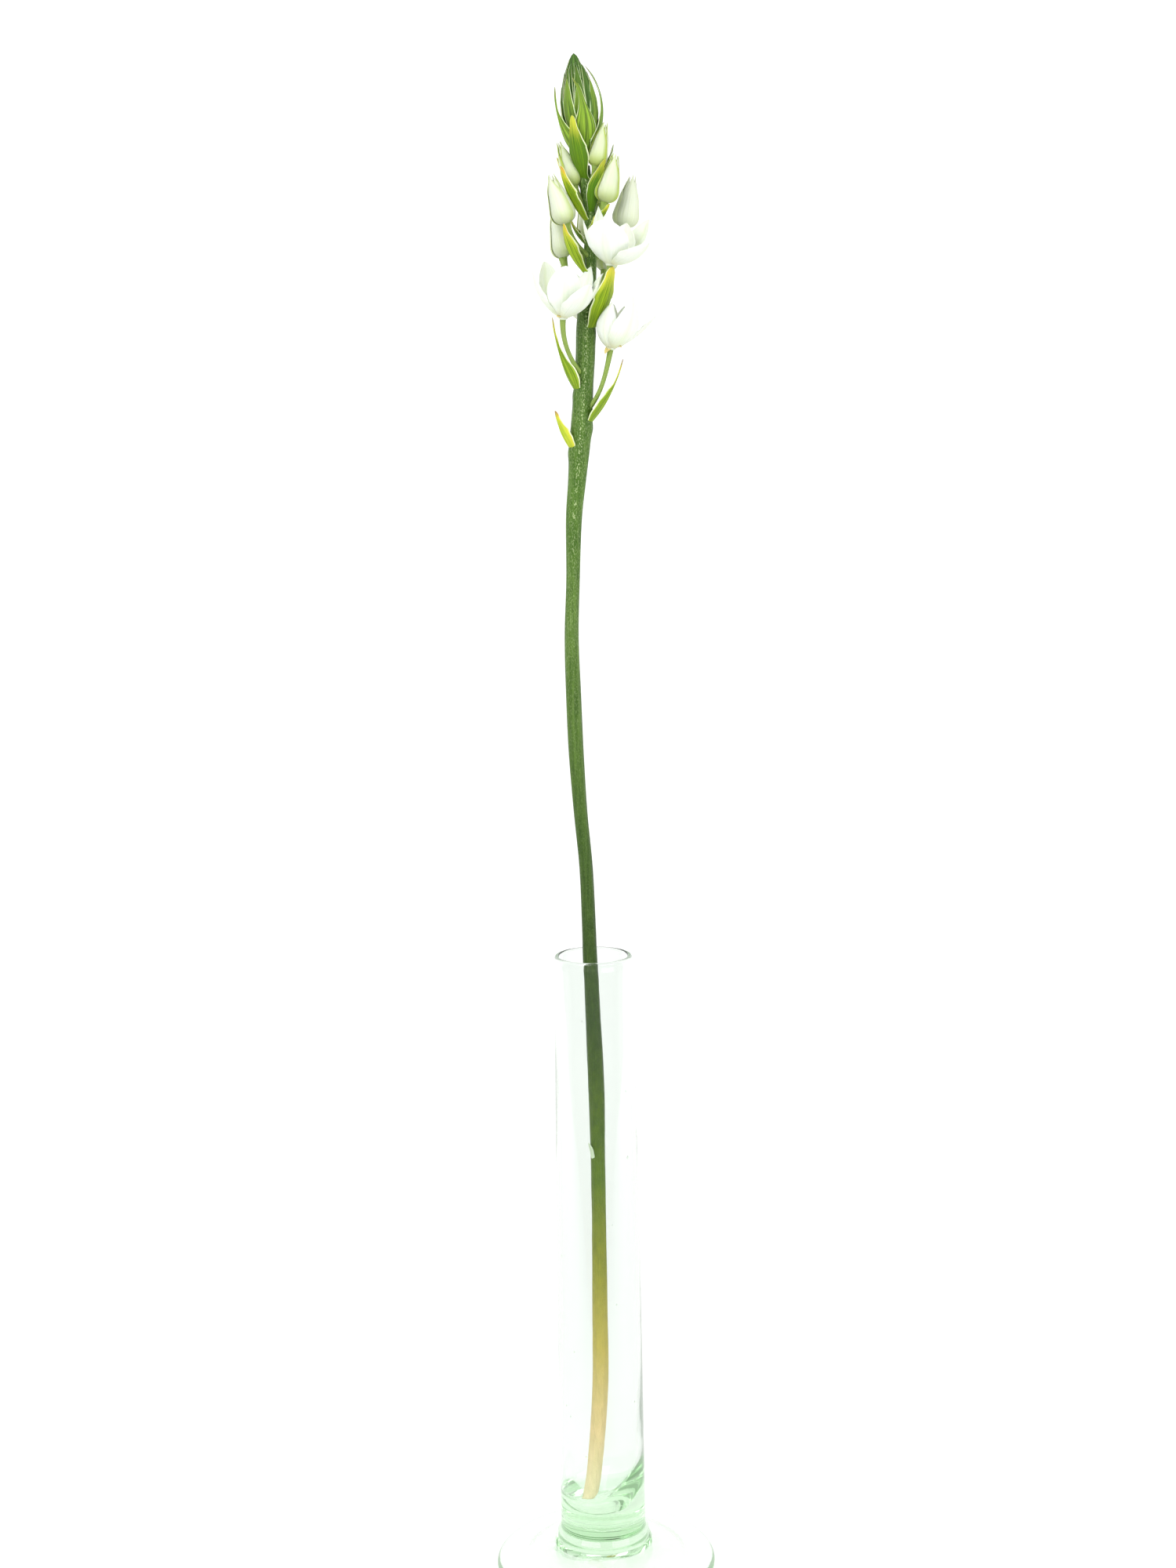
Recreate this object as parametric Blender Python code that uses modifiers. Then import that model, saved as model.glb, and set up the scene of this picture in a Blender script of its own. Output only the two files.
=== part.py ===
"""A chincherinchee flower stem in a tall glass vase.

Metres, with +Z up. The origin is the centre of the vase's foot, on the surface that it stands on.
The open flowers face -Y. The driving dimensions below are in millimetres.
"""

import math

import bmesh
import bpy
import numpy as np
from mathutils import Matrix, Vector

MM = 0.001
GAP = 0.3  # between two pieces that touch

# The vase, a turned shape. Its tube stands a little to the left of its foot.
FOOT_RADIUS = 45.15
FOOT_EDGE = 3.0  # radius of the foot's round edge
REST_RING_INNER = 34.0  # the foot rests on a flat ring outside this radius
HOLLOW_UNDER_FOOT = 4.0
DOME_TOP = (21.0, 13.0)  # radius and height where the foot's dome meets the collar
DOME_POWER = 1.7
COLLAR = ((17.6, 18.4), (18.5, 17.2), (18.9, 15.6), (19.6, 14.0))
TUBE_RADIUS = 17.4  # outside, at the bottom
TUBE_NARROWING = 1.9  # how much narrower the tube is at its rim
NARROWING_POWER = 2.2
TUBE_FOOT_HEIGHT = 20.0
RIM_HEIGHT = 258.0  # to the middle of the round rim
RIM_BEAD = 1.0
WALL = 1.6
FLOOR_HEIGHT = 27.0  # inside
FLOOR_RADIUS = 8.0
BOWL_RISE = 11.0  # from the floor to where the bore is straight
TUBE_SHIFT = -0.9
SHIFT_FROM, SHIFT_TO = 5.0, 14.0  # heights between which the shift grows
VASE_STEPS = 32

# The stem's middle line and its radius: x, y, z, radius. It stands on the vase's floor, leans on
# the back of the rim, and is straight above.
STEM = (
    (-6.2, -2.0, 27.8, 3.05),
    (-3.6, -1.1, 44.0, 3.1),
    (-1.2, 0.7, 78.0, 3.2),
    (-0.7, 2.5, 112.0, 3.15),
    (-0.4, 5.6, 170.0, 2.95),
    (-0.4, 7.4, 203.0, 3.3),
    (-1.5, 9.1, 236.0, 3.1),
    (-2.2, 10.1, 256.0, 2.9),
    (-2.4, 10.8, 268.0, 2.8),
    (-3.1, 11.7, 292.0, 2.7),
    (-4.9, 12.3, 315.0, 2.75),
    (-6.2, 12.8, 339.0, 3.0),
    (-6.8, 13.1, 362.0, 3.0),
    (-7.1, 13.3, 385.0, 2.8),
    (-6.1, 13.4, 408.0, 2.7),
    (-5.3, 13.4, 431.0, 3.15),
    (-3.8, 13.4, 446.0, 3.5),
    (-2.6, 13.2, 461.0, 3.9),
    (-1.8, 13.1, 471.0, 3.6),
    (-0.4, 13.0, 483.0, 3.4),
    (0.9, 12.8, 495.0, 3.4),
    (1.5, 12.7, 506.0, 3.0),
    (2.1, 12.6, 516.0, 2.5),
    (3.1, 12.5, 527.0, 2.1),
    (3.3, 12.3, 546.0, 1.9),
    (2.2, 12.1, 560.0, 1.8),
    (1.5, 12.1, 565.7, 1.7),
)
STEM_POINTS_A_SPAN = 2

# Closed buds: the base, the tip, the height where the pedicel leaves the rachis, and the radius.
BUDS = {
    "bud_top_right": ((6.3, 8.2, 565.2), (10.5, 8.8, 581.5), 557.0, 3.6),
    "bud_top_left": ((-2.6, 12.3, 559.0), (-8.3, 12.4, 575.7), 550.5, 3.3),
    "bud_right": ((9.2, 7.4, 551.8), (13.7, 7.0, 569.5), 544.5, 4.1),
    "bud_left": ((-6.0, 7.0, 543.6), (-12.0, 5.8, 562.8), 531.0, 4.9),
    "bud_white": ((16.0, 18.0, 542.7), (20.0, 18.0, 562.8), 530.0, 5.1),
    "bud_low_left": ((-7.6, 16.0, 531.4), (-10.9, 16.5, 551.5), 515.0, 4.1),
    "bud_back_1": ((0.8, 20.4, 491.0), (0.4, 21.8, 506.5), 482.0, 3.3),
    "bud_back_2": ((8.5, 25.0, 527.0), (11.5, 28.5, 545.5), 512.0, 4.6),
    "bud_back_3": ((2.2, 25.4, 540.5), (0.6, 28.4, 556.5), 527.0, 3.7),
    "bud_back_4": ((6.6, 19.8, 551.5), (8.6, 22.6, 567.5), 542.0, 3.5),
    "bud_back_5": ((-0.4, 18.8, 561.0), (-2.0, 21.2, 575.5), 555.0, 3.2),
}
BUD_FULLNESS = (0.5, 0.9)  # powers of the distance from the base and from the tip
BUD_STEP = 0.1  # how far each outer tepal's edge stands over the next, as a share of the radius

# Open flowers: the base, a point on the axis, the pedicel's root height, the tepals' length and
# width, the azimuth of the first tepal, the bow (how much more a tepal leans at its root, and less
# at its tip), how far each tepal leans out, in degrees, and which one is nearly straight.
FLOWERS = {
    "flower_left": (
        (-8.1, 1.5, 507.4), (-6.9, -0.6, 528.2), 485.5, 23.0, 11.5, 255.0, 31,
        (22, 42, 38, 27, 24, 27), None,
    ),
    "flower_right": (
        (10.3, 0.8, 527.1), (12.9, -0.8, 548.3), 507.0, 23.5, 13.0, 260.0, 31,
        (24, 34, 35, 20, 18, 25), None,
    ),
    "flower_low": (
        (10.0, 8.0, 495.9), (14.9, 8.0, 513.3), 471.5, 19.5, 9.5, 240.0, 56,
        (11, 13.5, 40, 12, 10, 10.5), 2,
    ),
    "flower_back": (
        (-0.8, 31.0, 508.0), (-1.6, 34.5, 526.5), 461.5, 19.5, 10.5, 250.0, 34,
        (19, 22, 24.5, 26, 23, 20.5), None,
    ),
}
TEPAL_CUP = 42.0
TEPAL_FULLNESS = (0.8, 0.68)
TEPAL_CLASP = 0.3
TEPAL_THICKNESS = 0.65
STRAIGHT_SHARE = 0.3  # of the bow, left in the tepal that is nearly straight
TEPAL_SCATTER = 3.0  # degrees either way
TEPAL_LENGTHS = (0.97, 1.03)
TEPAL_SEED = 6
TEPAL_ROOT = (0.9, 0.9)  # out from the axis, and up
RECEPTACLE = (1.9, 1.0)  # radius across, and half its height

# The centre of each flower, measured from the receptacle's top.
OVARY = (1.4, 2.1)  # radius, and half its height
STYLE_HEIGHT = 8.5
STYLE_RADIUS = (0.5, 0.4)
STAMENS = 6
STAMEN_ROOT, STAMEN_LEVEL = 0.9, 1.3  # out from the axis, and up
STAMEN_HEIGHT, STAMEN_LEAN = 8.0, 11.0
FILAMENT_RADIUS = (0.5, 0.32)
ANTHER = (0.55, 1.3)  # radius, and half its height

# How finely the meshes are divided: along and across a blade, or round and up a ball.
TEPAL_CELLS = (5, 3)
BRACT_CELLS = (5, 2)
SCALE_CELLS = (4, 2)
BUD_CELLS = (12, 8)
CORE_CELLS = (10, 10)
RECEPTACLE_CELLS = (10, 5)
OVARY_CELLS = (8, 5)
ANTHER_CELLS = (4, 3)

# Bracts on the rachis: the base height, the tip, the width, the bow in degrees, where along the
# bract it is widest, and how many degrees round the rachis its root lies from its tip.
BRACTS = (
    (458.5, (-10.9, 10.1, 473.0), 4.4, 10, 0.3, 0),
    (469.0, (14.9, 7.4, 492.7), 6.0, 12, 0.22, 0),
    (483.5, (-12.2, 8.2, 509.0), 6.0, 14, 0.24, 0),
    (503.5, (10.8, -1.0, 524.0), 7.0, 10, 0.5, 0),
    (525.0, (-7.1, 0.6, 543.5), 6.8, 12, 0.5, 0),
    (544.5, (-7.6, 2.6, 565.0), 5.4, 10, 0.42, 0),
    (547.0, (8.4, 4.0, 568.2), 4.6, 6, 0.42, -40),
    (560.0, (-2.8, 2.9, 583.5), 7.2, 13, 0.45, 10),
    (536.0, (-4.6, 13.6, 546.0), 5.0, 12, 0.4, 0),
    (540.0, (5.0, 7.2, 547.6), 3.2, 10, 0.4, 0),
    (555.0, (12.2, 15.6, 574.0), 4.6, 14, 0.35, 0),
    (551.0, (-9.4, 20.0, 570.0), 4.4, 14, 0.35, 0),
    (513.0, (-8.5, 21.0, 529.0), 5.6, 12, 0.35, 0),
    (480.0, (2.8, 25.0, 491.0), 4.4, 12, 0.3, 0),
    (510.0, (9.5, 29.5, 523.5), 6.0, 12, 0.35, 0),
    (525.5, (-3.5, 28.5, 538.0), 5.6, 12, 0.35, 0),
    (540.5, (7.0, 26.0, 549.5), 5.2, 12, 0.35, 0),
)
BRACT_CUP = 55.0
BRACT_FULLNESS = 1.6  # the sum of the two powers of its outline
BRACT_THICKNESS = 0.7
BRACT_CLASP = 0.45  # width at its root, as a share of the full width
BRACT_ROOT = 0.45  # how far out of the rachis' middle it starts, as a share of its radius

# The crown: its axis, its core's radius at heights above the base, and its scales.
CROWN_BASE = (1.5, 12.1, 566.0)
CROWN_TIP = (-2.1, 11.6, 607.2)
CROWN_CORE = (
    (0.0, 1.5), (5.0, 2.2), (9.0, 3.6), (14.0, 5.2), (19.0, 6.0), (24.0, 6.0),
    (30.0, 5.1), (35.0, 3.8), (39.5, 1.9), (41.2, 0.9), (41.6, 0.0),
)
# Rings of crown scales: how many, the root's height and distance out, the length, the width, the
# lean at the root and at the tip, and the azimuth of the first.
SCALE_RINGS = (
    (7, 6.0, 1.9, 29.5, 6.4, 36, -26, 20),
    (6, 9.5, 3.0, 29.0, 6.2, 28, -28, 45),
)
# Longer bracts that stand off the crown: azimuth, root height and distance out, length, width, the
# lean at the root and at the tip, and the sideways shift of the tip.
OUTER_SCALES = (
    (300, 6.5, 1.8, 28.0, 7.6, 44, -22, -4.5),
    (196, 3.0, 1.2, 31.0, 5.6, 44, -13, 0.0),
    (4, 4.5, 1.6, 35.0, 5.4, 45, -36, 0.0),
)
AWN_FULLNESS = (0.85, 1.75)
SCALE_SCATTER = 5.0  # degrees either way
SCALE_LENGTHS = (0.8, 1.05)  # shares of the length given for the ring
SCALE_SEED = 7
SCALE_WIDEST = 0.34
SCALE_CUP = 36.0
SCALE_THICKNESS = 0.7

PEDICEL_RADIUS = 0.85
PEDICEL_END_RADIUS = 1.25
PEDICEL_POINTS = 5
PEDICEL_SPREAD = (0.8, 0.6)  # outwards and upwards, the direction in which a pedicel leaves
PEDICEL_EASE = (0.36, 0.38)  # how far it keeps its direction at each end, as a share of its reach
SWAY_POWER = 2.5
TIP_WIDTH = 0.5  # half the width that every blade keeps at its tip

COLOURS = {
    "glass": ((0.86, 0.95, 0.90), 0.03),
    "stem": ((0.20, 0.33, 0.10), 0.45),
    "crown": ((0.16, 0.30, 0.11), 0.5),
    "bud": ((0.72, 0.82, 0.52), 0.5),
    "tepal": ((0.88, 0.93, 0.86), 0.5),
    "centre": ((0.72, 0.62, 0.16), 0.6),
}


def clear_scene():
    for item in list(bpy.data.objects):
        bpy.data.objects.remove(item, do_unlink=True)


def new_collection(name):
    group = bpy.data.collections.new(name)
    bpy.context.scene.collection.children.link(group)
    return group


def make_material(name):
    colour, roughness = COLOURS[name]
    material = bpy.data.materials.new(name)
    material.use_nodes = True
    shader = material.node_tree.nodes["Principled BSDF"]
    shader.inputs["Base Color"].default_value = (*colour, 1.0)
    shader.inputs["Roughness"].default_value = roughness
    shader.inputs["Metallic"].default_value = 0.0
    shader.inputs["Transmission Weight"].default_value = 1.0 if name == "glass" else 0.0
    return material


def add_object(name, data, group):
    item = bpy.data.objects.new(name, data)
    group.objects.link(item)
    return item


def evaluated_mesh(item):
    """A copy of the item's mesh with its modifiers applied."""
    depsgraph = bpy.context.evaluated_depsgraph_get()
    return bpy.data.meshes.new_from_object(item.evaluated_get(depsgraph))


def welded_mesh(item):
    """A copy of the item's mesh with its modifiers applied and its doubled points merged."""
    mesh = evaluated_mesh(item)
    shape = bmesh.new()
    shape.from_mesh(mesh)
    bmesh.ops.remove_doubles(shape, verts=shape.verts, dist=0.002 * MM)
    shape.to_mesh(mesh)
    shape.free()
    return mesh


def keep_largest_skin(mesh):
    """Deletes every skin but the largest: hollows that the union sealed, and loose scraps."""
    shape = bmesh.new()
    shape.from_mesh(mesh)
    left, skins = set(shape.faces), []
    while left:
        front = [left.pop()]
        skin = set(front)
        while front:
            for edge in front.pop().edges:
                for face in edge.link_faces:
                    if face in left:
                        left.remove(face)
                        skin.add(face)
                        front.append(face)
        skins.append(skin)
    skins.sort(key=len)
    for skin in skins[:-1]:
        bmesh.ops.delete(shape, geom=list(skin), context="FACES")
    shape.to_mesh(mesh)
    shape.free()


def join_all(name, pieces, group):
    """One Boolean union of the pieces, applied to a new object. The pieces are removed."""
    body, others = pieces[0], pieces[1:]
    operands = new_collection(name + "_operands")
    for piece in others:
        operands.objects.link(piece)
    union = body.modifiers.new("union", "BOOLEAN")
    union.operation = "UNION"
    union.operand_type = "COLLECTION"
    union.collection = operands
    union.solver = "EXACT"
    bpy.context.view_layer.update()
    joined = add_object(name, evaluated_mesh(body), group)
    keep_largest_skin(joined.data)
    for piece in pieces:
        bpy.data.objects.remove(piece, do_unlink=True)
    bpy.data.collections.remove(operands)
    return joined


def smooth_route(points, steps):
    """A Catmull-Rom curve through the points, with steps points for each span."""
    points = np.array(points, dtype=float)
    padded = np.vstack([2 * points[0] - points[1], points, 2 * points[-1] - points[-2]])
    route = []
    for i in range(len(points) - 1):
        a, b, c, d = padded[i : i + 4]
        for t in np.arange(steps) / steps:
            bend = (2 * a - 5 * b + 4 * c - d) * t**2 + (3 * b - a - 3 * c + d) * t**3
            route.append(0.5 * (2 * b + (c - a) * t + bend))
    route.append(points[-1])
    return np.array(route)


def make_tube(name, route, radii, resolution, group):
    """A mesh tube along the route, with a radius for each point and closed ends."""
    curve = bpy.data.curves.new(name, "CURVE")
    curve.dimensions = "3D"
    curve.bevel_depth = MM
    curve.bevel_resolution = resolution
    curve.use_fill_caps = True
    spline = curve.splines.new("POLY")
    spline.points.add(len(route) - 1)
    for point, place, radius in zip(spline.points, route, radii):
        point.co = (*(np.array(place) * MM), 1.0)
        point.radius = radius
    guide = add_object(name + "_guide", curve, group)
    tube = add_object(name, welded_mesh(guide), group)
    bpy.data.objects.remove(guide, do_unlink=True)
    return tube


def outline(along, fullness):
    """A blade's width along it, as a share of the greatest: two powers of the distance."""
    low, high = fullness
    peak = low / (low + high)
    return (along / peak) ** low * ((1 - along) / (1 - peak)) ** high


def blade_point(along, across, blade):
    """Where a share of the length and of the half width lies, in millimetres.

    The midrib turns evenly from its lean at the root to its lean at the tip, so it is an arc. Across
    it the blade is another arc, whose edges curl towards the Z axis. Its tip may sway to one side.
    """
    low, high = math.radians(blade["low"]), math.radians(blade["high"])
    turn = low - high
    lean = low - turn * along
    out = blade["length"] * (math.cos(lean) - math.cos(low)) / turn
    up = blade["length"] * (math.sin(low) - math.sin(lean)) / turn
    clasp = blade["clasp"] * (1 - along) ** 3
    half = blade["width"] / 2 * max(outline(along, blade["fullness"]), clasp)
    half = max(half, TIP_WIDTH)
    cup = math.radians(blade["cup"])
    side = half * math.sin(cup * across) / math.sin(cup) + blade["sway"] * along**SWAY_POWER
    depth = half * (1 - math.cos(cup * across)) / math.sin(cup)
    out += blade["root"][0] - depth * math.cos(lean)
    up += blade["root"][1] + depth * math.sin(lean)
    return out, side, up


def make_blade(name, blade, azimuth, place, cells, thickness, group):
    """A thin closed blade: a grid bent by blade_point, thickened, turned to its azimuth."""
    shape = bmesh.new()
    bmesh.ops.create_grid(shape, x_segments=cells[0], y_segments=cells[1], size=1.0)
    for vert in shape.verts:
        along = (vert.co.x + 1) / 2
        vert.co = Vector(blade_point(along, vert.co.y, blade)) * MM
    bmesh.ops.triangulate(shape, faces=shape.faces)
    turned = Matrix.Translation(Vector(place) * MM) @ Matrix.Rotation(math.radians(azimuth), 4, "Z")
    bmesh.ops.transform(shape, matrix=turned, verts=shape.verts)
    mesh = bpy.data.meshes.new(name)
    shape.to_mesh(mesh)
    shape.free()
    item = add_object(name, mesh, group)
    solid = item.modifiers.new("thickness", "SOLIDIFY")
    solid.thickness = thickness * MM
    solid.offset = 0.0
    return item


def make_ball(name, radius, half_height, height, cells, group):
    """A sphere stretched along Z, its centre at the given height, with cells round it and up it."""
    shape = bmesh.new()
    bmesh.ops.create_uvsphere(shape, u_segments=cells[0], v_segments=cells[1], radius=MM)
    bmesh.ops.scale(shape, vec=(radius, radius, half_height), verts=shape.verts)
    bmesh.ops.translate(shape, vec=(0, 0, height * MM), verts=shape.verts)
    mesh = bpy.data.meshes.new(name)
    shape.to_mesh(mesh)
    shape.free()
    return add_object(name, mesh, group)


def stand_on_axis(item, base, tip):
    """Moves an item built along Z so that it stands at base and points to tip."""
    axis = Vector(tip) - Vector(base)
    item.location = Vector(base) * MM
    item.rotation_mode = "QUATERNION"
    item.rotation_quaternion = Vector((0, 0, 1)).rotation_difference(axis)


def tube_radius(height):
    """The vase's outer radius between its foot and its rim."""
    return TUBE_RADIUS - TUBE_NARROWING * (height / RIM_HEIGHT) ** NARROWING_POWER


def vase_profile():
    """Radius and height from the middle of the inside floor, over the rim, to under the foot."""
    bore_start = FLOOR_HEIGHT + BOWL_RISE
    bore_radius = tube_radius(bore_start) - WALL
    profile = [(0.0, FLOOR_HEIGHT), (FLOOR_RADIUS, FLOOR_HEIGHT)]
    for angle in np.radians([22, 45, 68, 90]):
        radius = FLOOR_RADIUS + (bore_radius - FLOOR_RADIUS) * math.sin(angle)
        profile.append((radius, bore_start - BOWL_RISE * math.cos(angle)))
    heights = np.linspace(bore_start, RIM_HEIGHT - 4 * RIM_BEAD, 5)[1:]
    profile += [(tube_radius(z) - WALL, z) for z in heights]
    rim_middle = tube_radius(RIM_HEIGHT) - RIM_BEAD
    for angle in np.radians(np.linspace(180, 0, 7)):
        profile.append(
            (rim_middle + RIM_BEAD * math.cos(angle), RIM_HEIGHT + RIM_BEAD * math.sin(angle))
        )
    heights = np.linspace(RIM_HEIGHT - 4 * RIM_BEAD, TUBE_FOOT_HEIGHT, 5)
    profile += [(tube_radius(z), z) for z in heights]
    profile += COLLAR
    edge_middle = FOOT_RADIUS - FOOT_EDGE
    dome_radius, dome_height = DOME_TOP
    for radius in np.linspace(dome_radius, edge_middle, 6)[:-1]:
        share = (edge_middle - radius) / (edge_middle - dome_radius)
        rise = (dome_height - 2 * FOOT_EDGE) * share**DOME_POWER
        profile.append((radius, 2 * FOOT_EDGE + rise))
    for angle in np.radians(np.linspace(90, -90, 7)):
        profile.append(
            (edge_middle + FOOT_EDGE * math.cos(angle), FOOT_EDGE * (1 + math.sin(angle)))
        )
    for radius in np.linspace(REST_RING_INNER, 0, 4):
        profile.append((radius, HOLLOW_UNDER_FOOT * (1 - (radius / REST_RING_INNER) ** 2)))
    return profile


def make_vase(group):
    mesh = bpy.data.meshes.new("vase_profile")
    points = [(radius * MM, 0, height * MM) for radius, height in vase_profile()]
    edges = [(i, i + 1) for i in range(len(points) - 1)]
    mesh.from_pydata(points, edges, [])
    turned = add_object("vase_turned", mesh, group)
    screw = turned.modifiers.new("turn", "SCREW")
    screw.steps = screw.render_steps = VASE_STEPS
    screw.use_merge_vertices = True
    screw.merge_threshold = 0.01 * MM
    vase = add_object("vase", welded_mesh(turned), group)
    bpy.data.objects.remove(turned, do_unlink=True)
    for vert in vase.data.vertices:
        share = (vert.co.z / MM - SHIFT_FROM) / (SHIFT_TO - SHIFT_FROM)
        share = min(max(share, 0), 1)
        vert.co.x += TUBE_SHIFT * MM * share * share * (3 - 2 * share)
    return vase


def rachis_at(height):
    """The stem's middle and radius at a height, read from its own points."""
    table = np.array(STEM)
    return [float(np.interp(height, table[:, 2], table[:, i])) for i in (0, 1, 3)]


def make_bract(index, bract, group):
    """A bract whose root is sunk in the rachis and whose tip is at the given point."""
    base_height, tip, width, bow, widest, turn = bract
    x, y, radius = rachis_at(base_height)
    root = BRACT_ROOT * radius
    distance = math.hypot(tip[0] - x, tip[1] - y)
    out = distance * math.cos(math.radians(turn)) - root
    rise = tip[2] - base_height
    chord_lean = math.degrees(math.atan2(out, rise))
    arc = math.radians(bow)
    blade = {
        "length": math.hypot(out, rise) * arc / math.sin(arc),
        "width": width,
        "low": chord_lean + bow,
        "high": chord_lean - bow,
        "cup": BRACT_CUP,
        "fullness": (BRACT_FULLNESS * widest, BRACT_FULLNESS * (1 - widest)),
        "clasp": BRACT_CLASP,
        "root": (root, 0.0),
        "sway": -distance * math.sin(math.radians(turn)),
    }
    azimuth = math.degrees(math.atan2(tip[1] - y, tip[0] - x)) + turn
    place = (x, y, base_height)
    return make_blade(f"bract_{index}", blade, azimuth, place, BRACT_CELLS, BRACT_THICKNESS, group)


def make_pedicel(name, base, tip, root_height, group):
    """A Bezier curve from inside the rachis, out and up, to just under the flower's base."""
    x, y, _ = rachis_at(root_height)
    root, base = Vector((x, y, root_height)), Vector(base)
    axis = (Vector(tip) - base).normalized()
    end = base - axis * GAP
    reach = (end - root).length
    outward = Vector((end.x - root.x, end.y - root.y, 0)).normalized()
    away = outward * PEDICEL_SPREAD[0] + Vector((0, 0, PEDICEL_SPREAD[1]))
    first = root + away * reach * PEDICEL_EASE[0]
    second = end - axis * reach * PEDICEL_EASE[1]
    route, radii = [], []
    for t in np.linspace(0, 1, PEDICEL_POINTS):
        a, b, c, d = (1 - t) ** 3, 3 * (1 - t) ** 2 * t, 3 * (1 - t) * t**2, t**3
        route.append(root * a + first * b + second * c + end * d)
        radii.append(PEDICEL_RADIUS + (PEDICEL_END_RADIUS - PEDICEL_RADIUS) * t**5)
    return make_tube(name + "_pedicel", route, radii, 1, group)


def make_scape(group):
    """Stem, rachis, pedicels and bracts, which grew as one."""
    route = smooth_route(STEM, STEM_POINTS_A_SPAN)
    pieces = [make_tube("stem", route[:, :3], route[:, 3], 3, group)]
    for name, (base, tip, root_height, *_rest) in {**BUDS, **FLOWERS}.items():
        pieces.append(make_pedicel(name, base, tip, root_height, group))
    for index, bract in enumerate(BRACTS):
        pieces.append(make_bract(index, bract, group))
    return join_all("scape", pieces, group)


def make_crown(group):
    """A core covered by rings of pointed scales, all rooted in it."""
    shape = bmesh.new()
    bmesh.ops.create_uvsphere(
        shape, u_segments=CORE_CELLS[0], v_segments=CORE_CELLS[1], radius=1.0
    )
    heights, radii = zip(*CROWN_CORE)
    for vert in shape.verts:
        level = (vert.co.z + 1) / 2 * heights[-1]
        angle = math.atan2(vert.co.y, vert.co.x)
        radius = float(np.interp(level, heights, radii))
        vert.co = Vector((radius * math.cos(angle), radius * math.sin(angle), level)) * MM
    mesh = bpy.data.meshes.new("crown_core")
    shape.to_mesh(mesh)
    shape.free()
    pieces = [add_object("crown_core", mesh, group)]
    draw = np.random.default_rng(SCALE_SEED)
    scale_fullness = (BRACT_FULLNESS * SCALE_WIDEST, BRACT_FULLNESS * (1 - SCALE_WIDEST))
    scales = [
        (azimuth + 360 / count * i, *values, 0.0, scale_fullness)
        for count, *values, azimuth in SCALE_RINGS
        for i in range(count)
    ]
    scales += [(*values, AWN_FULLNESS) for values in OUTER_SCALES]
    for azimuth, level, out, length, width, low, high, sway, fullness in scales:
        azimuth += draw.uniform(-SCALE_SCATTER, SCALE_SCATTER)
        length *= draw.uniform(*SCALE_LENGTHS)
        blade = {
            "length": length,
            "width": width,
            "low": low,
            "high": high,
            "cup": SCALE_CUP,
            "fullness": fullness,
            "clasp": BRACT_CLASP,
            "root": (out, level),
            "sway": sway,
        }
        pieces.append(
            make_blade("scale", blade, azimuth, (0, 0, 0), SCALE_CELLS, SCALE_THICKNESS, group)
        )
    crown = join_all("crown", pieces, group)
    stand_on_axis(crown, CROWN_BASE, CROWN_TIP)
    return crown


def make_bud(name, base, tip, radius, group):
    """A pointed bud wrapped by three outer tepals, each with one edge raised over the next."""
    length = (Vector(tip) - Vector(base)).length
    shape = bmesh.new()
    bmesh.ops.create_uvsphere(
        shape, u_segments=BUD_CELLS[0], v_segments=BUD_CELLS[1], radius=1.0
    )
    for vert in shape.verts:
        along = (vert.co.z + 1) / 2
        angle = math.atan2(vert.co.y, vert.co.x)
        raised = 1 + BUD_STEP * ((3 * angle / math.tau) % 1.0 - 0.5)
        width = radius * outline(along, BUD_FULLNESS) * raised
        vert.co = Vector((width * math.cos(angle), width * math.sin(angle), along * length)) * MM
    mesh = bpy.data.meshes.new(name)
    shape.to_mesh(mesh)
    shape.free()
    bud = add_object(name, mesh, group)
    stand_on_axis(bud, base, tip)
    return bud


def make_tepals(name, flower, group):
    """Six tepals round a small receptacle, fused at their roots."""
    base, tip, _, length, width, azimuth, bow, leans, straight = flower
    pieces = [make_ball("receptacle", *RECEPTACLE, RECEPTACLE[1], RECEPTACLE_CELLS, group)]
    draw = np.random.default_rng(TEPAL_SEED)
    for index, lean in enumerate(leans):
        bend = bow * STRAIGHT_SHARE if index == straight else bow
        blade = {
            "length": length * draw.uniform(*TEPAL_LENGTHS),
            "width": width,
            "low": lean + bend,
            "high": lean - bend,
            "cup": TEPAL_CUP,
            "fullness": TEPAL_FULLNESS,
            "clasp": TEPAL_CLASP,
            "root": TEPAL_ROOT,
            "sway": 0.0,
        }
        turn = azimuth + 360 / len(leans) * index + draw.uniform(-TEPAL_SCATTER, TEPAL_SCATTER)
        pieces.append(
            make_blade("tepal", blade, turn, (0, 0, 0), TEPAL_CELLS, TEPAL_THICKNESS, group)
        )
    tepals = join_all(name + "_tepals", pieces, group)
    stand_on_axis(tepals, base, tip)
    return tepals


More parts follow.
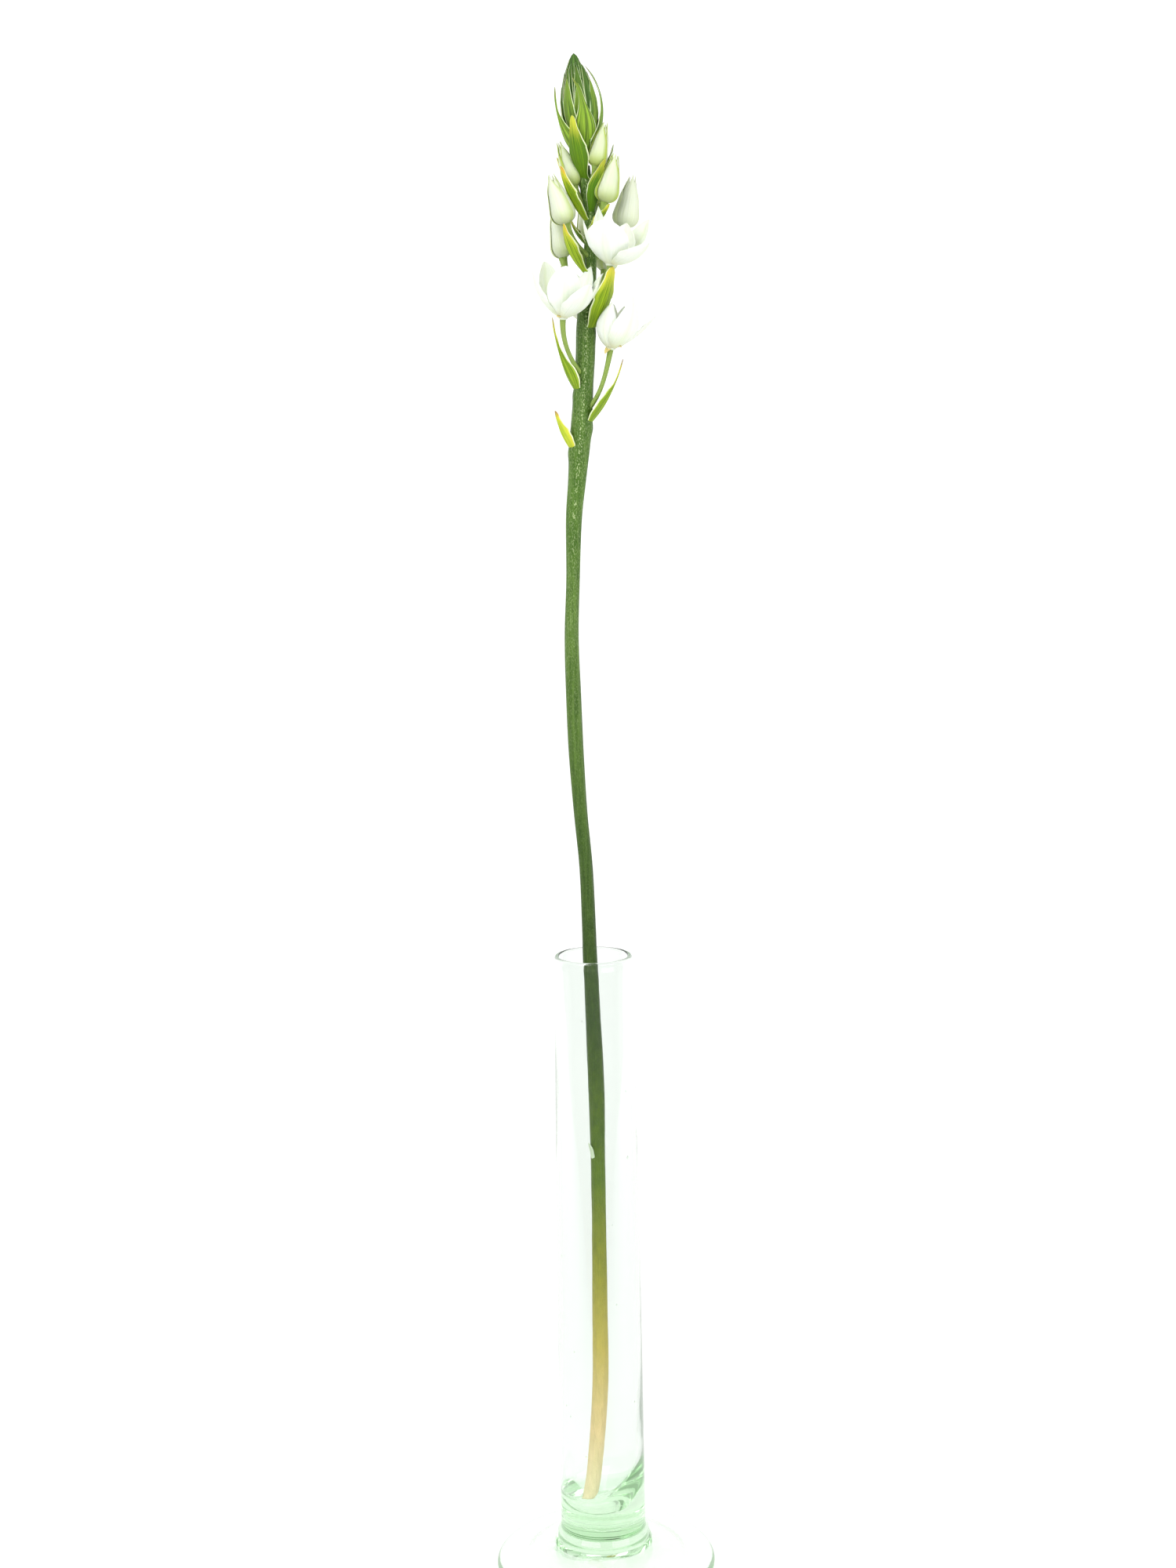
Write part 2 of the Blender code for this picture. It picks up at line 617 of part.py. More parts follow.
def make_centre(name, flower, group):
    """The ovary with its style, and six stamens rooted in it."""
    base, tip = flower[:2]
    floor = 2 * RECEPTACLE[1] + GAP
    pieces = [make_ball("ovary", *OVARY, floor + OVARY[1], OVARY_CELLS, group)]
    style = [(0, 0, floor + OVARY[1]), (0, 0, floor + STYLE_HEIGHT)]
    pieces.append(make_tube("style", style, STYLE_RADIUS, 1, group))
    for index in range(STAMENS):
        turn = Matrix.Rotation(math.tau / STAMENS * index, 4, "Z")
        lean = math.radians(STAMEN_LEAN)
        foot = Vector((STAMEN_ROOT, 0, floor + STAMEN_LEVEL))
        head = foot + Vector((math.sin(lean), 0, math.cos(lean))) * STAMEN_HEIGHT
        filament = make_tube("filament", (turn @ foot, turn @ head), FILAMENT_RADIUS, 0, group)
        anther = make_ball("anther", *ANTHER, 0, ANTHER_CELLS, group)
        anther.location = (turn @ head) * MM
        pieces += [filament, anther]
    centre = join_all(name + "_centre", pieces, group)
    stand_on_axis(centre, base, tip)
    return centre


def build():
    clear_scene()
    group = new_collection("chincherinchee_in_vase")
    root = add_object("chincherinchee", None, group)
    dressed = {
        "glass": [make_vase(group)],
        "stem": [make_scape(group)],
        "crown": [make_crown(group)],
        "bud": [make_bud(name, *values[:2], values[3], group) for name, values in BUDS.items()],
        "tepal": [make_tepals(name, flower, group) for name, flower in FLOWERS.items()],
        "centre": [make_centre(name, flower, group) for name, flower in FLOWERS.items()],
    }
    for slot, items in dressed.items():
        material = make_material(slot)
        for item in items:
            item.data.materials.clear()
            item.data.materials.append(material)
            item.data.shade_smooth()
            item.data.set_sharp_from_angle(angle=math.radians(40))
            item.parent = root


build()
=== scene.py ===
"""The looks of a cut chincherinchee stem in a tall vase of clear blown glass.

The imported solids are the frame. The vase, the stem and each bract, bud and flower are made again
here as fine surfaces, in the same places and from nearly the same sizes. Sizes are in millimetres.
"""

import math

import bpy
import numpy as np
from mathutils import Matrix, Vector


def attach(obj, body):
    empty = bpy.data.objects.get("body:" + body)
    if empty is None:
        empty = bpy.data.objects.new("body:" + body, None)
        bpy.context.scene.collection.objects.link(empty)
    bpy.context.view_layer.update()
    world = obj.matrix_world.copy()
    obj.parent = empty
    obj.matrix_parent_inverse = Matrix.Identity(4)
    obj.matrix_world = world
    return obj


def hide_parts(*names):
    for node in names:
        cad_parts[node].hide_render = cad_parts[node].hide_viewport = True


MM = 0.001

# The vase. Its foot's edge and hollow, the dome, the collar and the bottom of the bore differ a
# little from the solids'.
FOOT_RADIUS = 45.15
FOOT_EDGE = 2.0  # the radius of the rounding
REST_RING_INNER = 34.0  # the radius of the hollow under the foot
HOLLOW_UNDER_FOOT = 7.5
DOME_TOP = (20.9, 11.4)  # radius and height
DOME_POWER = 1.7
COLLAR = (  # radius and height, from the dome up to the tube
    (19.7, 12.0), (19.0, 13.1), (18.8, 14.4), (18.7, 15.6), (18.1, 16.8), (17.55, 18.0),
    (17.38, 19.2),
)
TUBE_RADIUS = 17.4
TUBE_NARROWING = 1.9  # from the foot to the rim
NARROWING_POWER = 2.2
TUBE_FOOT_HEIGHT = 20.0
RIM_HEIGHT = 258.0
RIM_BEAD = 1.0
WALL = 1.6
FLOOR_HEIGHT = 27.0  # of the inside
FLOOR_RADIUS = 8.4
BOWL_RISE = 11.0  # from the inside floor to the full bore
BOWL_POWER = 1.9
TUBE_SHIFT = -0.9  # the tube's middle from the foot's, along X
SHIFT_HEIGHTS = (5.0, 14.0)
CAVITY_SHIFTS = (-0.9, -1.0)  # more of it inside, low in the tube and at the bowl
CAVITY_SHIFT_HEIGHTS = ((38, 90), (27, 40))
BOWL_LIFT = (-3.0, 11.0)  # how much higher the bowl rises to the left and to the right
BOWL_LIFT_HEIGHTS = (38, 110)  # over which that lift fades
BORE_WAVE = 0.004  # how uneven the bore is, as a share of its radius

# Seeds in the glass: azimuth, height, radius, and how many times taller they are than wide.
SEEDS = (
    (-42, 178.5, 0.45, 1.6), (-152, 136.5, 0.35, 1.4), (-66, 118.5, 0.3, 1.5), (-146, 73.5, 0.35, 1.3),
    (-112, 54.0, 0.5, 0.9), (-38, 75.0, 0.35, 1.5), (-70, 152.0, 0.25, 1.3), (-128, 98.0, 0.25, 1.6),
    (35, 200.0, 0.3, 1.5), (80, 120.0, 0.35, 1.4), (140, 60.0, 0.4, 1.2), (110, 228.0, 0.25, 1.6),
)

# A wavy seam inside the solid base: its radius, height, half thickness, and the wave's height.
SEAM = (10.6, 20.6, 0.16, 0.35)

# The stem's middle line and its radius: x, y, z, radius.
STEM = (
    (-6.2, -2.0, 27.8, 3.05),
    (-3.6, -1.1, 44.0, 3.1),
    (-1.2, 0.7, 78.0, 3.2),
    (-0.7, 2.5, 112.0, 3.15),
    (-0.4, 5.6, 170.0, 2.95),
    (-0.4, 7.4, 203.0, 3.3),
    (-1.5, 9.1, 236.0, 3.1),
    (-2.2, 10.1, 256.0, 2.9),
    (-2.4, 10.8, 268.0, 2.8),
    (-3.1, 11.7, 292.0, 2.7),
    (-4.9, 12.3, 315.0, 2.75),
    (-6.2, 12.8, 339.0, 3.0),
    (-6.8, 13.1, 362.0, 3.0),
    (-7.1, 13.3, 385.0, 2.8),
    (-6.1, 13.4, 408.0, 2.7),
    (-5.3, 13.4, 431.0, 3.15),
    (-3.8, 13.4, 446.0, 3.5),
    (-2.4, 13.2, 461.0, 4.0),
    (-1.4, 13.1, 471.0, 4.0),
    (-0.4, 13.0, 483.0, 3.7),
    (0.4, 12.8, 495.0, 3.8),
    (0.8, 12.7, 506.0, 3.7),
    (1.7, 12.6, 516.0, 3.0),
    (3.0, 12.5, 527.0, 2.2),
    (3.3, 12.3, 546.0, 2.1),
    (2.0, 12.1, 556.0, 2.4),
    (1.5, 12.1, 565.7, 1.9),
)

STEM_COLUMNS = 72
# The stem's ridges: how many, their twist, and their height as a share of the radius.
RIDGES = ((7, 0.02, 0.012), (13, -0.05, 0.008))
SWELLING = (0.45, 2.6)  # under a bract: how far it stands out, and its half height
KEEL = (0.22, 26.0)  # the ridge that runs down from a bract: how far it stands out, and its length
PAINTED_HIGHLIGHT_AZIMUTH = 271  # of a line of denser pale flecks up the front: a painted highlight
# The stem's colours up its height.
STEM_COLOURS = (
    (28, (0.8, 0.7, 0.43)),
    (61, (0.71, 0.52, 0.24)),
    (94, (0.5, 0.385, 0.068)),
    (127, (0.27, 0.26, 0.022)),
    (165, (0.094, 0.156, 0.002)),
    (230, (0.026, 0.056, 0.002)),
    (295, (0.035, 0.083, 0.005)),
    (326, (0.053, 0.116, 0.008)),
    (390, (0.066, 0.142, 0.011)),
    (440, (0.064, 0.152, 0.01)),
    (490, (0.05, 0.124, 0.006)),
    (566, (0.045, 0.115, 0.006)),
)
COLOUR_BAND = 606.2  # the height that the band of colours spans

# A flake of skin peeled off the stem: its height, length, width and azimuth.
FLAKE = (173.5, 7.0, 3.0, 212)

# Closed buds: the base, the tip, the height where the pedicel leaves the rachis, the radius, how
# green it is, and the azimuth of its first tepal.
BUDS = {
    "bud_top_right": ((5.5, 8.2, 564.8), (9.5, 8.8, 581.9), 557.0, 3.8, 0.9, 250),
    "bud_top_left": ((-2.7, 11.4, 557.8), (-8.5, 12.0, 575.4), 550.5, 3.5, 0.8, 290),
    "bud_right": ((8.6, 7.4, 551.4), (13.5, 7.0, 569.9), 544.5, 4.7, 0.6, 265),
    "bud_left": ((-6.0, 7.0, 543.6), (-12.0, 5.8, 562.8), 531.0, 4.9, 0.35, 245),
    "bud_white": ((16.0, 18.0, 542.7), (20.0, 18.0, 562.8), 530.0, 5.1, 0.1, 275),
    "bud_low_left": ((-7.6, 16.0, 531.4), (-10.9, 16.5, 551.5), 515.0, 4.1, 0.25, 255),
    "bud_back_1": ((0.8, 20.4, 491.0), (0.4, 21.8, 506.5), 482.0, 3.3, 0.3, 80),
    "bud_back_2": ((8.5, 25.0, 527.0), (11.5, 28.5, 545.5), 512.0, 4.6, 0.3, 60),
    "bud_back_3": ((2.2, 25.4, 540.5), (0.6, 28.4, 556.5), 527.0, 3.7, 0.4, 100),
    "bud_back_4": ((6.6, 19.8, 551.5), (8.6, 22.6, 567.5), 542.0, 3.5, 0.6, 70),
    "bud_back_5": ((-0.4, 18.8, 561.0), (-2.0, 21.2, 575.5), 555.0, 3.2, 0.8, 120),
}
BUD_WIDEST = 0.27
BUD_TAPER = 0.86
BUD_NARROWING = 0.3
# The tepals of a bud, as pairs for the outer and the inner ones: the shortest and the longest as a
# share of the bud, the half width in degrees, and the height above the form.
BUD_LENGTHS = ((0.96, 1.0), (0.92, 0.97))
BUD_SWEEPS = (74, 68)
BUD_LAYERS = (0.0, -0.35)
BUD_FOLD = (0.3, 0.15, 0.5)  # the lifted edge, the keel and the thickness

# Open flowers: the base, a point on the axis, the pedicel's root height, the tepals' length and
# width, the azimuth of the first tepal, the bow, which tepal is nearly straight, and for each tepal
# how far it leans out and is turned aside, in degrees, its width and length as shares, and how
# pointed it is.
FLOWERS = {
    "flower_left": (
        (-8.1, 1.5, 507.4), (-6.9, -0.6, 528.2), 485.5, 23.0, 11.5, 255.0, 31, None,
        (
            (20, 19, 1.15, 0.96, 0.68), (46, -7, 1.1, 0.9, 0.85), (38, 0, 0.9, 1.0, 0.9),
            (34, -28, 1.0, 1.08, 0.9), (24, 0, 1.1, 1.05, 0.7), (30, -8, 0.75, 1.02, 1.1),
        ),
    ),
    "flower_right": (
        (10.3, 0.8, 527.1), (12.9, -0.8, 548.3), 507.0, 23.5, 13.0, 260.0, 31, None,
        (
            (33, -8, 1.3, 0.86, 0.66), (57, 8, 1.1, 0.8, 0.9), (38, 15, 1.0, 1.03, 0.8),
            (26, -20, 1.1, 0.8, 0.9), (20, -6, 0.85, 1.02, 1.15), (36, -6, 0.65, 0.84, 1.2),
        ),
    ),
    "flower_low": (
        (10.0, 8.0, 495.9), (13.6, 8.0, 513.5), 471.5, 19.5, 9.5, 240.0, 56, 2,
        (
            (13, 2, 1.0, 1.05, 1.1), (18, -1, 1.2, 1.36, 1.3), (41, 0, 0.6, 1.1, 0.9),
            (11, 0, 1.1, 1.02, 0.9), (9, 0, 1.1, 1.0, 0.9), (10.5, 0, 0.9, 0.95, 1.1),
        ),
    ),
    "flower_back": (
        (-0.8, 31.0, 508.0), (-1.6, 34.5, 526.5), 461.5, 19.5, 10.5, 250.0, 34, None,
        (
            (19, 0, 1.0, 1.0, 0.8), (22, 0, 0.95, 1.0, 0.9), (24.5, 0, 1.05, 1.0, 0.75),
            (26, 0, 1.0, 1.0, 0.9), (23, 0, 0.95, 1.0, 0.8), (20.5, 0, 1.05, 1.0, 0.9),
        ),
    ),
}

# Withered scraps under a flower: which, azimuth, how far up its axis, length, width, and lean.
SCRAPS = (
    ("flower_low", 240, 0.4, 3.2, 2.0, 110), ("flower_low", 318, 1.4, 4.4, 2.0, 62),
    ("flower_left", 236, 1.0, 3.0, 1.4, 62),
)
WITHERED = 1.8  # the dry mark of a scrap, brown all over
TEPAL_FULLNESS = 0.8
STRAIGHT_SHARE = 0.3  # how much of the bow the nearly straight tepal keeps
TEPAL_ROOT = (0.9, 0.9)  # out from the axis and up it
TEPAL_CURLS = (22, 10)  # how far the outer and the inner ones' tips turn out, in degrees
OUTER_STEP = 0.25  # how much further out the outer ones start
TEPAL_SEED = 6
RECEPTACLE = (1.9, 1.0)  # radius and half height
GAP = 0.3  # between one solid of the plant and the next

# A flower's centre: the ovary's radius and half height, the style's radii and heights above the
# receptacle, the filaments' length, radius, how much of it they lose, and lean, and the anthers'
# radius and half length.
OVARY = (1.4, 2.1)
OVARY_SINK = 0.3
OVARY_LOBES = 0.06  # as a share of the radius
STYLE = ((0.42, 4.0), (0.3, 6.5), (0.34, 8.2), (0.5, 8.5), (0.02, 8.7))
FILAMENT = (8.0, 0.5, 0.28, 11.0)
FILAMENT_ROOT = (0.9, 1.2)  # out from the axis, and above the receptacle
ANTHER = (0.55, 1.25)
ANTHER_LEAN = 0.25

# Bracts: the base height, the tip, the width, the bow, where it is widest and how fast it narrows,
# the turn of its root, half the arc of its section, how blunt its tip is, how ripe it is (0 deep
# green, 1 yellow green with an orange tip, 1.5 faded to pale yellow), and how dry its tip is.
BRACTS = (
    (457.5, (-11.9, 10.1, 473.4), 7.8, 12, 0.36, 3.0, 6, 44, 0.16, 1.5, 0.8),
    (467.5, (14.9, 7.4, 492.7), 8.4, 12, 0.26, 5.0, 6, 46, 0.06, 0.7, 0.9),
    (480.0, (-12.2, 8.2, 509.0), 8.2, 14, 0.24, 5.4, 5, 48, 0.05, 0.7, 0.6),
    (503.5, (11.3, -1.0, 527.0), 9.6, 10, 0.42, 3.0, 6, 34, 0.24, 0.72, 0.1),
    (525.0, (-7.1, 0.6, 543.5), 9.0, 12, 0.48, 3.3, -24, 42, 0.13, 0.9, 0.0),
    (544.5, (-7.9, 2.6, 565.0), 7.2, 10, 0.42, 2.8, -16, 44, 0.24, 0.95, 0.3),
    (547.0, (9.2, 4.0, 567.4), 5.6, 6, 0.46, 3.3, -22, 52, 0.16, 0.35, 0.1),
    (560.0, (-3.2, 2.9, 583.5), 8.0, 13, 0.42, 3.3, -4, 52, 0.16, 0.42, 0.0),
    (536.0, (-4.6, 13.6, 546.0), 5.0, 12, 0.4, 3.3, 0, 52, 0.18, 0.5, 0.0),
    (538.5, (5.0, 7.2, 546.4), 3.6, 10, 0.4, 3.3, 0, 52, 0.18, 0.6, 0.0),
    (542.5, (10.6, 6.6, 551.0), 4.0, 6, 0.4, 2.6, 0, 52, 0.2, 0.6, 0.0),
    (555.0, (12.6, 15.6, 574.0), 4.6, 14, 0.35, 3.3, 0, 52, 0.1, 0.1, 0.0),
    (551.0, (-9.4, 20.0, 570.0), 4.4, 14, 0.35, 3.3, 0, 52, 0.18, 0.6, 0.0),
    (513.0, (-8.5, 21.0, 529.0), 5.6, 12, 0.35, 3.3, 0, 52, 0.18, 0.5, 0.3),
    (480.0, (2.8, 25.0, 491.0), 4.4, 12, 0.3, 3.3, 0, 52, 0.18, 0.5, 0.5),
    (510.0, (9.5, 29.5, 523.5), 6.0, 12, 0.35, 3.3, 0, 52, 0.18, 0.6, 0.3),
    (525.5, (-3.5, 28.5, 538.0), 5.6, 12, 0.35, 3.3, 0, 52, 0.18, 0.5, 0.2),
    (540.5, (7.0, 26.0, 549.5), 5.2, 12, 0.35, 3.3, 0, 52, 0.18, 0.7, 0.2),
)
BRACT_ROOT = 0.7  # where a bract starts, as a share of the rachis's radius

CROWN_BASE = (1.5, 12.1, 566.0)
CROWN_TIP = (-2.1, 11.6, 607.2)
CROWN_CORE = (  # height and radius
    (0.0, 1.5), (5.0, 2.2), (9.0, 3.6), (14.0, 5.2), (19.0, 6.0), (24.0, 6.0),
    (30.0, 5.1), (35.0, 3.8), (39.5, 1.9), (41.2, 0.9), (41.6, 0.0),
)
# Rings of crown scales, wrapped on the core: how many, the heights of root and tip, the width, how
# far they lie above the core, the azimuth of the first, and how yellow they are.
SCALE_RINGS = (
    (9, 16.0, 41.2, 3.2, -0.5, 8, 0.0),
    (9, 12.0, 40.0, 3.6, -0.1, 31, 0.0),
    (8, 8.0, 37.4, 4.4, 0.35, 52, 0.1),
    (7, 3.5, 32.0, 5.8, 0.8, 20, 0.5),
)
CORE_SHARE = 0.88  # how much of the crown's outline the core under the scales fills
SCALE_FULLNESS = (0.5, 0.85)
SCALE_FOLD = (0.45, 0.35, 0.5)  # the lifted edge, the keel and the thickness
# Longer bracts that stand off the crown: azimuth, root height and distance out, length, width, the
# lean at the root and at the tip, the sideways shift of the tip, the powers of the outline, and how
# yellow they are.
OUTER_SCALES = (
    (288, 6.0, 1.8, 28.0, 8.6, 46, -24, -3.8, (1.2, 3.1), 0.68),
    (214, 2.5, 1.2, 29.5, 9.6, 46, -11, -0.6, (0.9, 3.8), 0.7),
    (3, 4.5, 1.6, 35.0, 7.0, 45, -37, 0.0, (0.8, 3.6), 0.5),
)
SCALE_SEED = 7

PEDICEL_RADIUS = 0.85
PEDICEL_END_RADIUS = (1.75, 1.2)  # under a bud, and under a flower
PEDICEL_SPREAD = (0.8, 0.6)  # out and up, where it leaves the rachis
PEDICEL_EASE = (0.36, 0.38)  # how far its two ends run straight, as shares of its reach
PEDICEL_FLARE = 0.5  # how much thicker it is at the rachis
PEDICEL_SINK = 0.5  # how far it reaches into the flower's base

# What the blades of a kind share: the rows and columns of their points, half the arc of the section
# in degrees, how wide the root stays, the two powers of the outline, the thickness at the midrib
# and at the edge, the furrow along the midrib, the height and number of an edge's waves, and the
# half width of a blunt tip.
BRACT_BLADE = dict(
    grid=(40, 15), clasp=0.55, thickness=(0.62, 0.14), furrow=0.1, ruffle=(0.22, 2.2)
)
OUTER_BLADE = dict(
    grid=(44, 15), cup=50.0, clasp=0.7, thickness=(0.6, 0.12), furrow=0.1, ruffle=(0.15, 2.0),
    tip=0.35,
)
TEPAL_BLADE = dict(
    grid=(48, 25), cup=42.0, clasp=0.3, thickness=(0.42, 0.16), furrow=0.035, ruffle=(0.3, 1.7)
)
SCRAP_BLADE = dict(
    grid=(20, 11), cup=60.0, clasp=0.5, fullness=(0.4, 0.9), thickness=(0.35, 0.15),
    ruffle=(0.35, 1.6),
)
FLAKE_BLADE = dict(
    grid=(16, 9), low=2, high=24, cup=30.0, clasp=0.6, fullness=(0.3, 0.6), thickness=(0.3, 0.1),
    ruffle=(0.1, 1.5),
)
CURL_FROM = 0.8  # how far along a blade its tip begins to curl
SWAY_POWER = 2.5  # of the distance along a blade, for the sideways shift of its tip
WRAP_COLUMNS = 17  # across a blade that is wrapped on a bud or on the crown

LONGEST_PATH = 5.5  # the number of bends after which a ray leaves the glass
GLASS_DENSITY = 16.0

# The studio, in metres.
FLOOR_DROP = 0.0004  # between the foot and the floor, so that their faces never coincide
SHEET_HALF_WIDTH = 3.5
SHEET_FLAT = 1.2  # how far the flat part reaches in front of the vase, and behind it
SHEET_CURVE = 0.8  # the radius of the curve into the wall
WALL_TOP = 3.5
DIM_SHEET = 0.25  # share of light the sheet's front gives to mirrors: a painted darker reflection
CAMERA_PLACE = (-0.0017, -0.900, 0.4705)
CAMERA_PITCH, CAMERA_ROLL = 9.0, 1.05
FOCAL_LENGTH = 53.1
# Square lamps: the place, the point they face, the size, and the power in watts.
LAMPS = {
    "key": ((-0.9, -1.3, 1.3), (0, 0, 0.4), 1.6, 23.5),
    "fill": ((1.2, -1.2, 0.9), (0, 0, 0.35), 1.5, 15.0),
    "back": ((0.0, 0.6, 2.4), (0, 1.8, 0.4), 1.5, 5.0),
}


# Surfaces


def skin(rings, across=None, tone=0.0, dry=0.0, endless=False):
    """A closed surface through rings of points, each running once round its section.

    Point j of ring i joins point j + 1 and the same points of ring i + 1, and the last point joins
    the first. The first and last rings are closed by strips from point j to its mirror, n - 1 - j,
    or joined to each other if the whole is endless. If it encloses a negative volume, every face
    is turned round.
    """
    rows, columns = rings.shape[:2]
    if across is None:
        across = np.linspace(0, 1, columns + 1)
    row, column = (a.ravel() for a in np.indices((rows if endless else rows - 1, columns)))
    corner_row = np.stack([row, row, row + 1, row + 1], 1)
    corner_column = np.stack([column, column + 1, column + 1, column], 1)
    half = np.arange(columns // 2 - 1)
    strip = np.stack([half, columns - 1 - half, columns - 2 - half, half + 1], 1)
    if not endless:
        corner_row = np.vstack([corner_row, strip * 0, strip * 0 + rows - 1])
        corner_column = np.vstack([corner_column, strip, strip[:, ::-1]])
    faces = corner_row % rows * columns + corner_column % columns
    uv = np.stack([across[corner_column], corner_row / (rows - 1)], 2)
    points = rings.reshape(-1, 3)
    a, b, c, d = (points[faces[:, i]] for i in range(4))
    volume = np.einsum("ij,ij->", a, np.cross(b, c) + np.cross(c, d))
    if volume < 0:
        faces, uv = faces[:, ::-1], uv[:, ::-1]
    count = len(points)
    return {
        "points": points,
        "faces": faces,
        "uv": uv.reshape(-1, 2),
        "tone": np.full(count, tone),
        "dry": np.full(count, dry),
    }


def joined(skins):
    """One surface from several: the points and marks in a row, each one's faces counted on."""
    starts = np.cumsum([0] + [len(s["points"]) for s in skins[:-1]])
    whole = {key: np.concatenate([s[key] for s in skins]) for key in ("points", "uv", "tone", "dry")}
    whole["faces"] = np.concatenate([s["faces"] + start for s, start in zip(skins, starts)])
    return whole


def add_object(name, data):
    """An object at the origin with its own data, linked into the scene."""
    item = bpy.data.objects.new(name, data)
    bpy.context.scene.collection.objects.link(item)
    return item


def make_piece(name, surface, material, node):
    """A mesh object from a surface in millimetres, with its UV map and marks, in place of a node."""
    mesh = bpy.data.meshes.new(name)
    faces = surface["faces"]
    mesh.vertices.add(len(surface["points"]))
    mesh.vertices.foreach_set("co", (surface["points"] * MM).astype(np.float32).ravel())
    mesh.loops.add(faces.size)
    mesh.loops.foreach_set("vertex_index", faces.ravel().astype(np.int32))
    mesh.polygons.add(len(faces))
    mesh.polygons.foreach_set("loop_start", np.arange(0, faces.size, 4, dtype=np.int32))
    mesh.update(calc_edges=True)
    mesh.uv_layers.new(name="Surface").uv.foreach_set("vector", surface["uv"].ravel())
    for key in ("tone", "dry"):
        mesh.attributes.new(key, "FLOAT", "POINT").data.foreach_set("value", surface[key])
    mesh.shade_smooth()
    mesh.set_sharp_from_angle(angle=math.radians(50))
    mesh.materials.append(material)
    piece = add_object(name, mesh)
    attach(piece, "root")
    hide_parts(node)


def outline(along, fullness):
    """A blade's width along it, as a share of the greatest: two powers of the distance."""
    low, high = fullness
    peak = low / (low + high)
    return (along / peak) ** low * ((1 - along) / (1 - peak)) ** high


def running_sum(values, step):
    """The running integral of values by the trapezoid rule, starting at 0."""
    return np.concatenate([[0.0], np.cumsum((values[1:] + values[:-1]) / 2 * step)])


def smoothstep(low, high, values):
    """0 below low, 1 above high, and 3 t t - 2 t t t between."""
    t = np.clip((values - low) / (high - low), 0, 1)
    return t * t * (3 - 2 * t)


def turn_about_z(points, degrees):
    """x cos a - y sin a, x sin a + y cos a."""
    a = math.radians(degrees)
    turn = np.array([[math.cos(a), math.sin(a), 0], [-math.sin(a), math.cos(a), 0], [0, 0, 1]])
    return points @ turn


def stand_on_axis(points, base, tip):
    """Turns Z onto the line from base to tip by the shortest way, and moves the origin to base."""
    base = np.array(base, float)
    axis = np.array(tip, float) - base
    x, y, z = axis / np.linalg.norm(axis)
    cross = np.array([[0, 0, x], [0, 0, y], [-x, -y, 0]])
    turn = np.eye(3) + cross + cross @ cross / (1 + z)
    return points @ turn.T + base


def blade_rings(blade):
    """A thin leaf-like blade as rings round its section, rooted at the origin and leaning to +X.

    Along it, the lean goes evenly from low to high, with a curl added near the tip, and out and up
    are the running sums of its sine and cosine. Across it, the section is an arc of half angle cup,
    whose edges curl towards the Z axis. A wave that grows with the cube of the distance from the
    midrib ruffles the edges, and a furrow follows the midrib. The two faces stand half the
    thickness off the middle surface, along its normal, and the thickness falls to the edges.
    """
    rows, columns = blade["grid"]
    along = np.linspace(0, 1, rows) ** 0.9
    across = np.sin(np.linspace(-np.pi / 2, np.pi / 2, columns))
    lean = blade["low"] + (blade["high"] - blade["low"]) * along
    curl = blade.get("curl", 0) * np.clip((along - CURL_FROM) / (1 - CURL_FROM), 0, 1) ** 2
    lean = np.radians(lean + curl)
    step = np.diff(along) * blade["length"]
    out = blade["root"][0] + running_sum(np.sin(lean), step)
    up = blade["root"][1] + running_sum(np.cos(lean), step)
    clasp = blade["clasp"] * (1 - along) ** 3
    half = blade["width"] / 2 * np.hypot(outline(along, blade["fullness"]), clasp)
    blunt = blade.get("tip", 0.0) * np.sqrt(np.clip((1 - along) / 0.09, 0, 1)) * (along > 0.5)
    half = np.hypot(half, blunt) + 0.03
    cup = np.radians(blade["cup"])
    t, s, half = along[:, None], across[None, :], half[:, None]
    lean = lean[:, None]
    side = half * np.sin(cup * s) / np.sin(cup) + blade.get("sway", 0.0) * t**SWAY_POWER
    depth = half * (1 - np.cos(cup * s)) / np.sin(cup)
    depth = depth - blade.get("furrow", 0.0) * half * np.exp(-((s / 0.13) ** 2)) * t * (1 - t) * 4
    height, waves = blade["ruffle"]
    ripple = np.sin(math.tau * waves * t + blade.get("phase", 0.0) + 1.6 * s)
    ripple = ripple + 0.5 * np.sin(math.tau * waves * 2.3 * t - 3 * s)
    depth = depth + height * np.abs(s) ** 3 * np.sin(np.pi * np.clip(t * 1.15, 0, 1)) * ripple
    middle = np.stack(
        [out[:, None] - depth * np.cos(lean), side, up[:, None] + depth * np.sin(lean)], 2
    )
    normal = np.cross(np.gradient(middle, axis=0), np.gradient(middle, axis=1))
    normal /= np.maximum(np.linalg.norm(normal, axis=2, keepdims=True), 1e-9)
    thick, edge = blade["thickness"]
    share = (1 - np.abs(s) ** 3) * np.minimum(1, 8 * (1 - t))
    offset = normal * ((edge + (thick - edge) * share) / 2)[:, :, None]
    return np.concatenate([middle + offset, (middle - offset)[:, ::-1]], 1)


def blade_across(columns):
    """Where each point of a blade's ring lies between its edges, 0 to 1: over one face and back."""
    across = (np.sin(np.linspace(-np.pi / 2, np.pi / 2, columns)) + 1) / 2
    return np.concatenate([across, across[::-1], across[:1]])


def make_blade(blade, azimuth, tone, dry, place=(0, 0, 0), axis=None):
    """A blade turned to its azimuth and moved to its place, or stood on the axis that is given."""
    rings = turn_about_z(blade_rings(blade), azimuth) + np.array(place)
    if axis:
        rings = stand_on_axis(rings, *axis)
    return skin(rings, blade_across(blade["grid"][1]), tone, dry)


